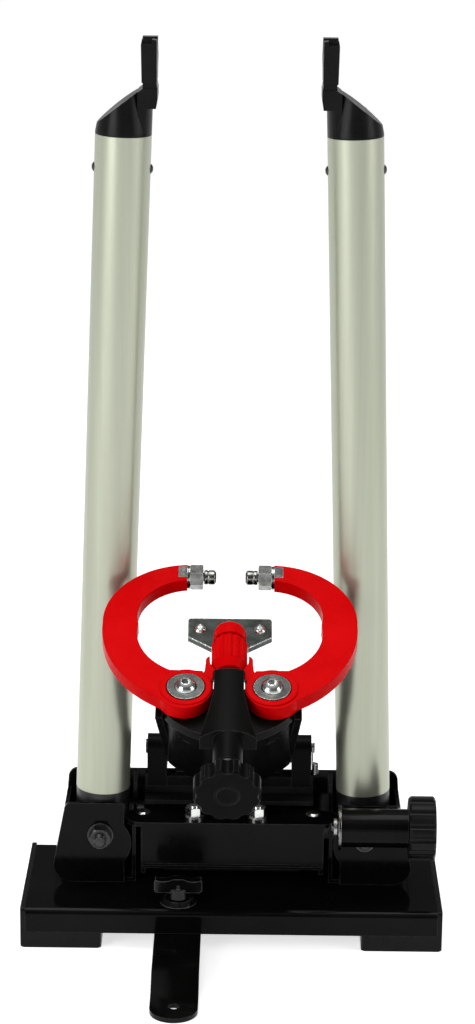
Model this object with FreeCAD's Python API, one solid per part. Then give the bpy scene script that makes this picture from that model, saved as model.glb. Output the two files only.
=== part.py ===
"""Bicycle wheel truing stand: a weighted base with two hub arms and a hinged rim calliper.

Axes: X runs along the base to the right, +Y away from the person at the stand, +Z up.
All working coordinates have y = 0 in the plane of the two arms and z = 0 on the bench. Before
export everything moves by one vector, so that the origin is the bottom centre of the whole stand.
Units are millimetres and degrees.
"""
import FreeCAD, Part
import math
import os

V = FreeCAD.Vector
X_AXIS = V(1, 0, 0)
Y_AXIS = V(0, 1, 0)
Z_AXIS = V(0, 0, 1)
SIDES = {"left": -1, "right": 1}

# ---------------------------------------------------------------- driving dimensions
# Base plate and feet
base_length = 270.8
base_front = 64.5
base_rear = 43.8
base_top = 26.6
plate_sheet = 2.0
flange_bottom = 10.5
plate_corner = 4.6
foot_length = 51.9
foot_wall = 3.0
foot_ridge = 0.8
foot_screw_inset = 22.0
foot_screw_dia = 5.0

# Stabiliser bar with its clamp
bar_x = -34.4
bar_width = 30.0
bar_thickness = 3.0
bar_underside = 7.0
bar_rear_end = 4.0
bar_joggle_start = 119.5
bar_joggle_run = 15.0
bar_front_end = 169.4
bar_hole_dia = 7.0
bar_hole_inset = 17.0
bar_travel = 30.0
clamp_y = -50.0
guide_lip_start = 16.0
stud_dia = 6.0
wing_length = 31.0
wing_height = 9.4
wing_depth = 6.5
wing_bottom = base_top + 7.4
clamp_washer_dia = 24.0
clamp_washer_height = 3.4
clamp_nut_side = 14.0
clamp_nut_height = 4.2

# Arms
pivot_x = 86.0
pivot_z = base_top + 33.4
arm_lean = 1.855
tube_dia = 35.0
tube_wall = 1.6
tube_bottom = 27.0
tube_top = 456.0
root_dia = tube_dia - 0.4
root_bottom = 22.0
root_plug_top = 70.0
root_screw_height = 43.0
pivot_bolt_dia = 8.0
cap_height = 59.0
dropout_gap = 100.0
dropout_thickness = 10.2
dropout_depth = 24.0
axle_slot_width = 10.0
axle_seat_height = 49.0
cap_neck_height = 29.0

# Arm housing, a folded sheet channel
housing_sheet = 2.5
pocket_depth = tube_dia + 1.0
housing_top = base_top + 55.4
rear_wall_top = base_top + 64.4
housing_half_top = pivot_x + tube_dia / 2 + 6.0
housing_half_bottom = housing_half_top + 7.5
rear_half_top = housing_half_top - 3.0
housing_corner = 12.0
inner_wall_x = pivot_x - tube_dia / 2 - 3.0
face_inner_x = inner_wall_x + 5.0
face_bulge = 4.7
face_bulge_z = base_top + 27.4
face_bulge_half = 12.0

# Centre bracket: shelf and front panel
shelf_top = base_top + 43.7
bracket_sheet = 3.0
shelf_half = inner_wall_x + 4.8
shelf_end_radius = 12.0
bracket_lead = 3.4
shelf_rear = 4.0
panel_half = inner_wall_x - 6.0
panel_bottom = base_top + 12.0
panel_lip = 2.2
bridge_bolt_y = 11.0
bridge_half = 45.0
shelf_bolt_spacing = 41.4
shelf_bolt_middle = -4.4
shelf_bolt_y = -13.8
shelf_rivet_spacing = 2 * panel_half - 7.5
shelf_rivet_middle = -3.0
shelf_rivet_y = -5.5

# Linkage of the two arms
link_radius = 11.0
link_pin_dia = 6.0
link_front = 6.0
link_thickness = 5.0
link_eye_radius = 6.0
link_height = 8.0
link_slot_flare = 2.5
drive_height = 15.2
drive_y = -(pocket_depth / 2 + 22.0)
drive_pin_dia = 6.0
screw_dia = 8.0
nut_length = 12.0
barrel_dia = 25.0
barrel_left = inner_wall_x + 4.4
barrel_right = housing_half_top + 3.5
arm_knob_dia = 41.5
arm_knob_length = 17.4
arm_knob_flutes = 14

# Calliper hinge on the rear wall
calliper_x = -2.6
hinge_y = 19.0
hinge_z = base_top + 80.4
hinge_pin_dia = 6.0
knuckle_radius = 8.5
knuckle_inner = 41.0
knuckle_width = 13.0
cradle_bottom = base_top + 55.4
cradle_rail_top = base_top + 62.4
ear_radius = 8.0
ear_width = 9.0
spring_wire = 1.1
spring_turns = 6
spring_radius = 1.75
bracket_rear_top = rear_wall_top - 2.0

# Calliper, in its own tilted frame: u sideways, s along the plane, n square to it
calliper_tilt = 22.5
dial_y = -195.8
dial_z = base_top + 132.9
deck_radius = 46.0
deck_centre_s = 101.2
deck_half = 44.5
deck_thickness = 6.0
eye_u = 26.2
eye_s = 88.3
eye_radius = 17.9
eye_inner_radius = 16.5
jaw_thickness = 9.2
jaw_bolt_dia = 8.0
jaw_washer_dia = 23.0
tip_s = 197.0
tip_gap = 18.4
jaw_end_u = 27.6
finger_gap = 0.55
finger_thickness = 2.7
finger_end = 117.4
tip_dia = 9.4
tip_length = 7.8
tip_screw_dia = 6.0
tip_nut_flats = 14.0
tip_nut_length = 8.6
tab_width = 10.0
tab_length = 5.6
tab_thickness = 1.4
spindle_dia = 7.0
dial_dia = 40.5
dial_thickness = 12.0
dial_flutes = 12
sleeve_dia = 17.0
sleeve_end = 23.5
boss_dia = 17.8
column_half = 9.2
column_top = 9.0
column_crown = 26.0
column_front = 46.5
column_flare = 17.2
column_end = 101.4
wedge_front = 105.3
wedge_small = 8.2
wedge_large = 11.2
wedge_slope_end = 110.9
wedge_rear = 131.6
dome_dia = 20.4
dome_neck = 2.2
dome_round = 7.0
gauge_half = 26.3
gauge_front = 132.6
gauge_shoulder = 143.2
gauge_rear = 160.7
gauge_fold = 2.6
gauge_level = -2.8
gauge_sheet = 1.5
gauge_screw_u = 18.6
gauge_screw_s = 150.6

# Clearances and small stock
running = 0.1
slide_gap = 0.3
free_gap = 0.5
pin_gap = 0.15

# ---------------------------------------------------------------- derived places
arm_axis_half = tube_dia / 2
face_front = -(pocket_depth / 2 + housing_sheet)
face_inside = -pocket_depth / 2
bracket_front = face_front - bracket_lead
rear_inside = pocket_depth / 2
rear_outside = pocket_depth / 2 + housing_sheet
floor_top = base_top + housing_sheet
plate_under = base_top - plate_sheet
shelf_under = shelf_top - bracket_sheet
bar_top = bar_underside + bar_thickness
drive_z = pivot_z + drive_height
tilt = math.radians(calliper_tilt)


def to_calliper(y, z):
    """Return the (s, n) place in the calliper's frame of a point given by y and z."""
    dy = y - dial_y
    dz = z - dial_z
    s = dy * math.cos(tilt) + dz * math.sin(tilt)
    n = -dy * math.sin(tilt) + dz * math.cos(tilt)
    return s, n


hinge_s, hinge_n = to_calliper(hinge_y, hinge_z)

parts = {}


# ---------------------------------------------------------------- geometry helpers
def box(x0, x1, y0, y1, z0, z1):
    """Return a block between two corners."""
    return Part.makeBox(x1 - x0, y1 - y0, z1 - z0, V(x0, y0, z0))


def rod(dia, start, end):
    """Return a round bar of the given diameter between two points."""
    axis = end - start
    return Part.makeCylinder(dia / 2, axis.Length, start, axis)


def tube(outer, inner, start, end):
    """Return a round tube between two points."""
    return rod(outer, start, end).cut(rod(inner, start, end))


def outline(*steps):
    """Return a closed wire through points; a pair (middle, end) in a list draws an arc."""
    edges = []
    first = steps[0]
    here = first
    for step in steps[1:]:
        if isinstance(step, list):
            middle, end = step
            edges.append(Part.Arc(here, middle, end).toShape())
        else:
            end = step
            edges.append(Part.makeLine(here, end))
        here = end
    if here.distanceToPoint(first) > 1e-6:
        edges.append(Part.makeLine(here, first))
    return Part.Wire(edges)


def prism(direction, *steps):
    """Return the outline through the given steps, extruded along a direction."""
    return Part.Face(outline(*steps)).extrude(direction)


def rounded_box(x0, x1, y0, y1, z0, z1, radius, axis):
    """Return a block whose edges parallel to an axis are rounded."""
    block = box(x0, x1, y0, y1, z0, z1)
    picked = [edge for edge in block.Edges if abs(edge.tangentAt(0).dot(axis)) > 0.99]
    return block.makeFillet(radius, picked)


def hexagon(across_flats, height, base, axis, turn=0.0):
    """Return a hexagonal prism standing on a point along an axis."""
    radius = across_flats / math.sqrt(3)
    corners = []
    for k in range(6):
        angle = math.radians(60 * k + turn)
        corners.append(V(radius * math.cos(angle), radius * math.sin(angle), 0))
    solid = prism(V(0, 0, height), *corners)
    solid.Placement = FreeCAD.Placement(base, FreeCAD.Rotation(Z_AXIS, axis))
    return solid


def chamfered_nut(across_flats, height, bore, base, axis, turn=0.0):
    """Return a hexagon nut with bevelled corners and a plain bore."""
    nut = hexagon(across_flats, height, base, axis, turn)
    corner = across_flats / math.sqrt(3)
    bevel = corner - across_flats / 2
    envelope = Part.makeCone(corner - bevel, corner, bevel * 0.6, base, axis)
    envelope = envelope.fuse(Part.makeCylinder(corner, height - 1.2 * bevel, base + axis * bevel * 0.6,
                                               axis))
    top = base + axis * (height - bevel * 0.6)
    envelope = envelope.fuse(Part.makeCone(corner, corner - bevel, bevel * 0.6, top, axis))
    nut = nut.common(envelope)
    return nut.cut(Part.makeCylinder(bore / 2, height + 2, base - axis, axis))


def button_screw(head_dia, head_height, shank_dia, shank_length, seat, axis, key=0.0):
    """Return a domed screw whose head stands on seat and points along the axis."""
    ball = (head_dia ** 2 / 4 + head_height ** 2) / (2 * head_height)
    head = Part.makeSphere(ball, seat - axis * (ball - head_height))
    head = head.common(Part.makeCylinder(head_dia / 2, head_height + 1, seat, axis))
    screw = head.fuse(Part.makeCylinder(shank_dia / 2, shank_length + 0.2, seat - axis * shank_length,
                                        axis))
    if key:
        screw = screw.cut(hexagon(key, head_height, seat + axis * head_height * 0.35, axis))
    return screw


def fluted_knob(dia, length, flutes, flute_dia, start, axis, bevel):
    """Return a round knob with scooped flutes, bevelled at both ends."""
    body = Part.makeCylinder(dia / 2, length, start, axis)
    body = body.makeChamfer(bevel, [edge for edge in body.Edges if edge.Closed])
    side = axis.cross(Z_AXIS) if abs(axis.dot(Z_AXIS)) < 0.9 else X_AXIS
    side.normalize()
    other = axis.cross(side)
    reach = dia / 2 + flute_dia * 0.22
    cutters = []
    for k in range(flutes):
        angle = 2 * math.pi * k / flutes
        centre = start + side * (reach * math.cos(angle)) + other * (reach * math.sin(angle))
        cutters.append(Part.makeCylinder(flute_dia / 2, length + 2, centre - axis, axis))
    return body.cut(cutters)


def mirrored(shape):
    """Return the mirror image across the stand's middle plane."""
    return shape.mirror(V(0, 0, 0), X_AXIS)


def on_side(shape, sign):
    """Return a shape drawn for the right-hand side, placed on the wanted side."""
    return shape if sign > 0 else mirrored(shape)


def lean(shape, sign):
    """Turn an upright arm piece inward about its pivot by the arm's resting lean."""
    shape.rotate(V(sign * pivot_x, 0, pivot_z), Y_AXIS, -sign * arm_lean)
    return shape


def tilted(shape):
    """Place a piece drawn in the calliper's (u, s, n) frame on the stand."""
    place = FreeCAD.Placement(V(calliper_x, dial_y, dial_z), FreeCAD.Rotation(X_AXIS, calliper_tilt))
    moved = shape.copy()
    moved.Placement = place.multiply(shape.Placement)
    return moved


# ---------------------------------------------------------------- base
def base_plate():
    """Return the pressed plate with its turned-down front and rear flanges."""
    half = base_length / 2 - foot_wall
    outer = box(-half, half, -base_front, base_rear, flange_bottom, base_top)
    long_top = [e for e in outer.Edges if abs(e.CenterOfMass.z - base_top) < 0.01 and e.Length > 200]
    outer = outer.makeFillet(plate_corner, long_top)
    inner = box(-half - 1, half + 1, -base_front + plate_sheet, base_rear - plate_sheet, 0, plate_under)
    inner_top = [e for e in inner.Edges if abs(e.CenterOfMass.z - plate_under) < 0.01 and e.Length > 200]
    inner = inner.makeFillet(plate_corner - plate_sheet, inner_top)
    plate = outer.cut(inner)
    for x, y in foot_screw_places():
        boss = rod(12.0, V(x, y, flange_bottom + 3.5), V(x, y, plate_under + 0.5))
        plate = plate.fuse(boss).cut(rod(foot_screw_dia, V(x, y, 0), V(x, y, plate_under - 1)))
    for x, y in housing_bolt_places():
        plate = plate.cut(rod(6.6, V(x, y, plate_under - 1), V(x, y, base_top + 1)))
    for x in bridge_bolt_places():
        plate = plate.cut(rod(5.5, V(x, bridge_bolt_y, plate_under - 1),
                              V(x, bridge_bolt_y, base_top + 1)))
    return plate.cut(rod(stud_dia + 2 * free_gap, V(bar_x, clamp_y, plate_under - 1),
                         V(bar_x, clamp_y, base_top + 1)))


def foot_screw_places():
    """Return the plan places of the four screws that hold the feet."""
    x = base_length / 2 - foot_screw_inset
    return [(sign * x, y) for sign in (-1, 1) for y in (-base_front + 18.0, base_rear - 18.0)]


def housing_bolt_places():
    """Return the plan places of the four bolts that hold the arm housing."""
    return [(sign * x, 0.0) for sign in (-1, 1) for x in (pivot_x - 10.0, pivot_x + 14.0)]


def foot():
    """Return the right-hand foot: a bench block with an end wall that caps the plate."""
    x1 = base_length / 2
    x0 = x1 - foot_length
    block = rounded_box(x0, x1, -base_front, base_rear, 0, flange_bottom, 3.0, Z_AXIS)
    wall = rounded_box(x1 - foot_wall, x1, -base_front, base_rear, 0, base_top + foot_ridge, 2.5,
                       X_AXIS)
    piece = block.fuse(wall)
    pocket = box(x0 + 4, x1 - foot_wall - 3, -base_front + 5, base_rear - 5, 5.0, flange_bottom + 1)
    piece = piece.cut(pocket)
    for x, y in foot_screw_places():
        if x < 0:
            continue
        piece = piece.fuse(rod(13.0, V(x, y, 0), V(x, y, flange_bottom + 3.5)))
        piece = piece.cut(rod(foot_screw_dia + 2 * running, V(x, y, -1), V(x, y, flange_bottom + 5)))
        piece = piece.cut(rod(9.6, V(x, y, -1), V(x, y, 4.0)))
    return piece.removeSplitter()


def foot_screws():
    """Return the four screws that reach up through the feet into the plate's bosses."""
    screws = []
    for x, y in foot_screw_places():
        head = rod(9.0, V(x, y, 1.0), V(x, y, 4.0)).cut(hexagon(3.0, 2.0, V(x, y, 0.9), Z_AXIS))
        screws.append(head.fuse(rod(foot_screw_dia - 0.02, V(x, y, 3.9), V(x, y, plate_under - 2))))
    return Part.makeCompound(screws)


# ---------------------------------------------------------------- stabiliser bar
def stabiliser_bar():
    """Return the cranked flat bar with its bench hole and clamp slot."""
    x0 = bar_x - bar_width / 2
    low = bar_underside
    a = -bar_joggle_start
    b = a - bar_joggle_run
    end = -bar_front_end
    top = bar_top
    side = [V(x0, bar_rear_end, low), V(x0, bar_rear_end, top), V(x0, a, top), V(x0, b, bar_thickness),
            V(x0, end, bar_thickness), V(x0, end, 0), V(x0, b, 0), V(x0, a, low)]
    bar = prism(V(bar_width, 0, 0), *side)
    radius = bar_width / 2
    centre_y = end + radius
    nose = rod(bar_width, V(bar_x, centre_y, -1), V(bar_x, centre_y, bar_thickness + 1))
    keep = nose.fuse(box(x0, x0 + bar_width, centre_y, bar_rear_end, -1, top + 1))
    bar = bar.common(keep)
    hole_y = end + bar_hole_inset
    bar = bar.cut(rod(bar_hole_dia, V(bar_x, hole_y, -1), V(bar_x, hole_y, bar_thickness + 1)))
    slot_half = stud_dia / 2 + slide_gap
    slot = box(bar_x - slot_half, bar_x + slot_half, clamp_y, clamp_y + bar_travel, low - 1, top + 1)
    for y in (clamp_y, clamp_y + bar_travel):
        slot = slot.fuse(rod(2 * slot_half, V(bar_x, y, low - 1), V(bar_x, y, top + 1)))
    return bar.cut(slot)


def bar_guide():
    """Return the guide block under the plate, with cheeks and lips that carry the bar."""
    wall = 4.0
    half = bar_width / 2 + slide_gap
    y0 = clamp_y - 10
    y1 = clamp_y + bar_travel + 16
    outer = box(bar_x - half - wall, bar_x + half + wall, y0, y1, bar_underside - 3, plate_under)
    channel = box(bar_x - half, bar_x + half, y0 - 1, y1 + 1, bar_underside - slide_gap,
                  bar_top + slide_gap)
    mouth = box(bar_x - half + wall, bar_x + half - wall, y0 - 1, y1 + 1, 0, bar_underside)
    front_lips = box(bar_x - 40, bar_x + 40, y0 - 1, y0 + guide_lip_start, 0, bar_top + slide_gap)
    guide = outer.cut([channel, mouth, front_lips])
    return guide.cut(rod(stud_dia + 2 * free_gap, V(bar_x, clamp_y, 0),
                         V(bar_x, clamp_y, plate_under + 1)))


def clamp_washer():
    """Return the dished washer under the wing screw."""
    base = V(bar_x, clamp_y, base_top)
    washer = Part.makeCone(clamp_washer_dia / 2, clamp_washer_dia / 2 - 2.5, clamp_washer_height, base)
    washer = washer.cut(rod(clamp_washer_dia - 8, base + V(0, 0, 1.6), base + V(0, 0, 6)))
    return washer.cut(rod(stud_dia, base - Z_AXIS, base + V(0, 0, 6)))


def wing_handle():
    """Return the wing handle with its round neck."""
    length = wing_length / 2
    depth = wing_depth / 2
    z1 = wing_bottom + wing_height
    wing = rounded_box(bar_x - length, bar_x + length, clamp_y - depth, clamp_y + depth, wing_bottom,
                       z1, 2.6, Y_AXIS)
    waist = rod(26.0, V(bar_x - length * 0.62, clamp_y - 5, z1 + 11.4),
                V(bar_x - length * 0.62, clamp_y + 5, z1 + 11.4))
    wing = wing.cut(waist).cut(waist.mirror(V(bar_x, 0, 0), X_AXIS))
    seat = base_top + 1.6 + slide_gap
    neck = Part.makeCone(6.8, 5.4, wing_bottom + 2 - seat, V(bar_x, clamp_y, seat))
    handle = wing.fuse(neck).removeSplitter()
    return handle.cut(rod(stud_dia + 2 * running, V(bar_x, clamp_y, 0),
                          V(bar_x, clamp_y, wing_bottom + 5)))


def wing_stud():
    """Return the threaded stud that stands up through bar, plate and washer."""
    return rod(stud_dia, V(bar_x, clamp_y, 1.6), V(bar_x, clamp_y, wing_bottom + 4.5))


def clamp_nut():
    """Return the square nut at the foot of the stud that pulls the bar up against its guide."""
    half = clamp_nut_side / 2
    z1 = bar_underside - slide_gap
    nut = rounded_box(bar_x - half, bar_x + half, clamp_y - half, clamp_y + half,
                      z1 - clamp_nut_height, z1, 1.0, Z_AXIS)
    return nut.cut(rod(stud_dia, V(bar_x, clamp_y, 0), V(bar_x, clamp_y, z1 + 1)))


# ---------------------------------------------------------------- arm housing
def face_outline(y, inset=0.0):
    """Return the right-hand front face of the housing as outline steps in the plane y."""
    x_top = housing_half_top - inset
    x_low = housing_half_bottom - inset
    r = housing_corner - inset
    bend = r * (1 - math.sqrt(0.5))
    low = base_top + inset
    return [V(face_inner_x, y, low), V(x_low - r, y, low),
            [V(x_low - bend, y, low + bend), V(x_low, y, low + r)],
            V(x_top, y, housing_top - 4), [V(x_top - 1.4, y, housing_top - 1.2),
                                           V(x_top - 4.5, y, housing_top)],
            V(face_inner_x, y, housing_top), V(face_inner_x, y, face_bulge_z + face_bulge_half),
            [V(face_inner_x - face_bulge, y, face_bulge_z),
             V(face_inner_x, y, face_bulge_z - face_bulge_half)]]


def half_housing():
    """Return the right-hand pocket: front face, outer wall, inner wall and floor."""
    face = prism(V(0, housing_sheet, 0), *face_outline(face_front))
    wall_outer = prism(V(0, pocket_depth + 2 * housing_sheet, 0), *face_outline(face_front))
    wall_inner = prism(V(0, pocket_depth + 2 * housing_sheet + 2, 0),
                       *face_outline(face_front - 1, housing_sheet))
    wide = box(inner_wall_x, face_inner_x + 20, face_front - 1, rear_outside + 1, 0, rear_wall_top + 9)
    outer_wall = wall_outer.cut(wall_inner).cut(wide)
    outer_wall = outer_wall.cut(box(0, 200, face_front - 1, rear_outside + 1, housing_top - 4,
                                    rear_wall_top))
    x0 = inner_wall_x - housing_sheet
    inner_wall = prism(V(housing_sheet, 0, 0), V(x0, face_inside, base_top),
                       V(x0, rear_inside, base_top),
                       V(x0, rear_inside, rear_wall_top - 1), V(x0, face_inside + 4, housing_top),
                       V(x0, face_inside, housing_top - 5))
    floor = box(x0, housing_half_bottom - housing_corner, face_inside, rear_inside, base_top, floor_top)
    return face.fuse([outer_wall, inner_wall, floor])


def rear_wall():
    """Return the tall wall that joins both pockets at the back."""
    y = rear_inside
    x_low = housing_half_bottom
    bend = housing_corner * (1 - math.sqrt(0.5))
    right = [V(x_low - housing_corner, y, base_top),
             [V(x_low - bend, y, base_top + bend), V(x_low, y, base_top + housing_corner)],
             V(housing_half_top, y, housing_top - 4), V(rear_half_top + 2.5, y, rear_wall_top - 6),
             [V(rear_half_top + 0.6, y, rear_wall_top - 1.6), V(rear_half_top - 5, y, rear_wall_top)]]
    wall = prism(V(0, housing_sheet, 0), V(0, y, base_top), *right, V(0, y, rear_wall_top))
    return wall.fuse(mirrored(wall))


def arm_housing():
    """Return the folded housing with every hole that its pieces need."""
    half = half_housing()
    shell = half.fuse([mirrored(half), rear_wall()]).removeSplitter()
    cuts = []
    for sign in (-1, 1):
        cuts.append(rod(pivot_bolt_dia + 2 * running, V(sign * pivot_x, -40, pivot_z),
                        V(sign * pivot_x, 40, pivot_z)))
        near, far = sorted((sign * (inner_wall_x - 5), sign * (inner_wall_x + 0.5)))
        cuts.append(box(near, far, face_front - 1, shelf_rear + free_gap, shelf_under - free_gap,
                        rear_wall_top))
        level = pivot_z - sign * link_radius * (1 - (pivot_x - inner_wall_x) / pivot_x)
        cuts.append(box(sign * inner_wall_x - 4, sign * inner_wall_x + 4, link_front - 2,
                        link_front + link_thickness + 2, level - 7.5, level + 7.5))
    for x, y in housing_bolt_places():
        cuts.append(rod(6.6, V(x, y, base_top - 1), V(x, y, floor_top + 1)))
    slot_half = drive_pin_dia / 2 + free_gap
    for x in (pivot_x - 3.5, pivot_x + 4.0):
        cuts.append(rod(2 * slot_half, V(x, face_front - 1, drive_z), V(x, face_inside + 1, drive_z)))
    cuts.append(box(pivot_x - 3.5, pivot_x + 4.0, face_front - 1, face_inside + 1,
                    drive_z - slot_half, drive_z + slot_half))
    for x, z in barrel_screw_places():
        cuts.append(rod(4.0, V(x, face_front - 1, z), V(x, face_inside + 1, z)))
    for x, z in cradle_screw_places():
        cuts.append(rod(5.5, V(x, rear_inside - 1, z), V(x, rear_outside + 1, z)))
    return shell.cut(cuts)


# ---------------------------------------------------------------- centre bracket
def centre_bracket():
    """Return the shelf with its round ends and the bare front panel bent down from it."""
    x = shelf_half - shelf_end_radius
    shelf = box(-x, x, bracket_front, shelf_rear, shelf_under, shelf_top)
    for sign in (-1, 1):
        end = V(sign * x, bracket_front + shelf_end_radius, shelf_under)
        shelf = shelf.fuse(rod(2 * shelf_end_radius, end, end + V(0, 0, bracket_sheet)))
    panel = box(-panel_half, panel_half, bracket_front, bracket_front + bracket_sheet, panel_bottom + 1,
                shelf_top - 0.5)
    lip = rounded_box(-panel_half + 1, panel_half - 1, bracket_front - panel_lip,
                      bracket_front + bracket_sheet,
                      panel_bottom, panel_bottom + bracket_sheet, 1.2, X_AXIS)
    bracket = shelf.fuse([panel, lip])
    for sign in (-1, 1):
        x0, x1 = sorted((sign * (panel_half - 3), sign * panel_half))
        bracket = bracket.fuse(box(x0, x1, bracket_front - 1, bracket_front + bracket_sheet,
                                   panel_bottom - 3, panel_bottom + 2))
    for x in shelf_bolt_places():
        bracket = bracket.cut(rod(6.6, V(x, shelf_bolt_y, shelf_under - 1),
                                  V(x, shelf_bolt_y, shelf_top + 1)))
    for x in shelf_rivet_places():
        bracket = bracket.cut(rod(6.0, V(x, shelf_rivet_y, shelf_under - 1),
                                  V(x, shelf_rivet_y, shelf_top + 1)))
    return bracket.removeSplitter()


def shelf_bolt_places():
    """Return the x of the two bright bolts on the shelf."""
    return [shelf_bolt_middle + sign * shelf_bolt_spacing / 2 for sign in (-1, 1)]


def shelf_rivet_places():
    """Return the x of the two bright rivets near the shelf's ends."""
    return [shelf_rivet_middle + sign * shelf_rivet_spacing / 2 for sign in (-1, 1)]


def bridge_bolt_places():
    """Return the x of the two bolts through the bridge's foot."""
    return [-24.0, 24.0]


def bridge_bracket():
    """Return the Z-shaped bridge that stands on the plate and carries the shelf."""
    sheet = bracket_sheet
    top = box(-bridge_half, bridge_half, bracket_front + bracket_sheet, shelf_rear,
              shelf_under - sheet, shelf_under)
    web = box(-bridge_half, bridge_half, 0.0, sheet, base_top, shelf_under - sheet + 0.5)
    base = box(-bridge_half, bridge_half, 0.0, rear_inside - 1, base_top, base_top + sheet)
    bridge = top.fuse([web, base])
    for x in shelf_bolt_places():
        bridge = bridge.cut(rod(6.0, V(x, shelf_bolt_y, shelf_under - 5),
                                V(x, shelf_bolt_y, shelf_under + 1)))
    for x in bridge_bolt_places():
        bridge = bridge.cut(rod(5.5, V(x, bridge_bolt_y, base_top - 1),
                                V(x, bridge_bolt_y, base_top + 5)))
    return bridge.removeSplitter()


def shelf_fasteners():
    """Return the two bright bolts with collars and the two flat rivets of the shelf."""
    fasteners = []
    for x in shelf_bolt_places():
        seat = V(x, shelf_bolt_y, shelf_top)
        collar = rod(13.0, seat, seat + V(0, 0, 1.4)).cut(rod(6.0, seat - Z_AXIS, seat + V(0, 0, 2)))
        head = chamfered_nut(10.0, 6.4, 5.9, seat + V(0, 0, 1.4), Z_AXIS, 12)
        shank = rod(6.0, seat - V(0, 0, 2 * bracket_sheet + 1), seat + V(0, 0, 8.6))
        fasteners.append(shank.fuse([collar, head]))
    for x in shelf_rivet_places():
        seat = V(x, shelf_rivet_y, shelf_top)
        head = Part.makeCone(5.2, 3.8, 1.0, seat)
        fasteners.append(head.fuse(rod(6.0, seat - V(0, 0, bracket_sheet + 1), seat + V(0, 0, 0.5))))
    return Part.makeCompound(fasteners)


def plate_bolts():
    """Return the bolts with nuts that hold the housing and the bridge to the plate."""
    bolts = []
    for x, y in housing_bolt_places():
        head = hexagon(10.0, 4.0, V(x, y, plate_under - 4), Z_AXIS)
        shank = rod(6.0, V(x, y, plate_under - 1), V(x, y, floor_top + 5.4))
        nut = chamfered_nut(10.0, 4.6, 5.9, V(x, y, floor_top), Z_AXIS)
        bolts.append(head.fuse([shank, nut]))
    for x in bridge_bolt_places():
        low = V(x, bridge_bolt_y, plate_under)
        head = hexagon(8.0, 3.2, low - V(0, 0, 3.2), Z_AXIS)
        shank = rod(5.0, low - Z_AXIS, low + V(0, 0, plate_sheet + bracket_sheet + 5))
        nut = chamfered_nut(8.0, 4.0, 4.9, low + V(0, 0, plate_sheet + bracket_sheet), Z_AXIS)
        bolts.append(head.fuse([shank, nut]))
    return Part.makeCompound(bolts)


# ---------------------------------------------------------------- arms
def pivot_bolt(sign):
    """Return the long bolt that an arm swings on, head at the back."""
    x = sign * pivot_x
    head = hexagon(13.0, 5.3, V(x, rear_outside + 1.6, pivot_z), Y_AXIS)
    front = face_front - 12.6
    shank = rod(pivot_bolt_dia, V(x, front + 2.5, pivot_z), V(x, rear_outside + 2, pivot_z))
    dome = Part.makeCone(2.2, pivot_bolt_dia / 2, 2.5, V(x, front, pivot_z), Y_AXIS)
    return shank.fuse([head, dome])


def pivot_nut(sign):
    """Return the nut on the front end of an arm's pivot bolt."""
    place = V(sign * pivot_x, face_front - 1.6, pivot_z)
    return chamfered_nut(13.0, 6.6, pivot_bolt_dia, place, V(0, -1, 0), 0)


def pivot_washers(sign):
    """Return the washers under the head and the nut of a pivot bolt as a list."""
    x = sign * pivot_x
    front = tube(17.0, pivot_bolt_dia, V(x, face_front - 1.6, pivot_z), V(x, face_front, pivot_z))
    rear = tube(17.0, pivot_bolt_dia, V(x, rear_outside, pivot_z), V(x, rear_outside + 1.6, pivot_z))
    return [front, rear]


def arm_root(sign):
    """Return the solid root of an arm: pivot bore, link slot and the plug inside the tube."""
    x = sign * pivot_x
    z = pivot_z
    plug_dia = tube_dia - 2 * tube_wall
    root = rod(root_dia, V(x, 0, z - root_bottom), V(x, 0, z + tube_bottom))
    bottom = [e for e in root.Edges if e.Closed and e.CenterOfMass.z < z]
    root = root.makeFillet(3.0, bottom)
    root = root.fuse(rod(plug_dia, V(x, 0, z + tube_bottom - 1), V(x, 0, z + root_plug_top)))
    root = root.cut(rod(pivot_bolt_dia + 2 * running, V(x, -30, z), V(x, 30, z)))
    pin_z = z - sign * link_radius
    reach = link_eye_radius + 1.5
    inner = x - sign * 30
    outer = x + sign * reach
    y = link_front - slide_gap
    away = pin_z - sign * reach
    toward = pin_z + sign * reach
    slot = prism(V(0, link_thickness + 2 * slide_gap, 0), V(outer, y, away), V(outer, y, toward),
                 V(x, y, toward),
                 V(inner, y, toward + sign * link_slot_flare), V(inner, y, away))
    root = root.cut(slot)
    root = root.cut(rod(link_pin_dia, V(x, -2, pin_z), V(x, 30, pin_z)))
    if sign > 0:
        root = root.cut(rod(drive_pin_dia, V(x, -30, z + drive_height), V(x, 4, z + drive_height)))
    root = root.cut(rod(4.0, V(x, 6, z + root_screw_height), V(x, 30, z + root_screw_height)))
    return lean(root, sign)


def arm_tube(sign):
    """Return the long round tube of an arm."""
    x = sign * pivot_x
    inner = tube_dia - 2 * tube_wall
    wall = tube(tube_dia, inner, V(x, 0, pivot_z + tube_bottom), V(x, 0, pivot_z + tube_top))
    z = pivot_z + tube_top - 21.0
    wall = wall.cut(rod(4.0, V(x - 30, 0, z), V(x + 30, 0, z)))
    back = V(x, 4, pivot_z + root_screw_height)
    wall = wall.cut(rod(4.0, back, back + V(0, 30, 0)))
    return lean(wall, sign)


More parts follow.
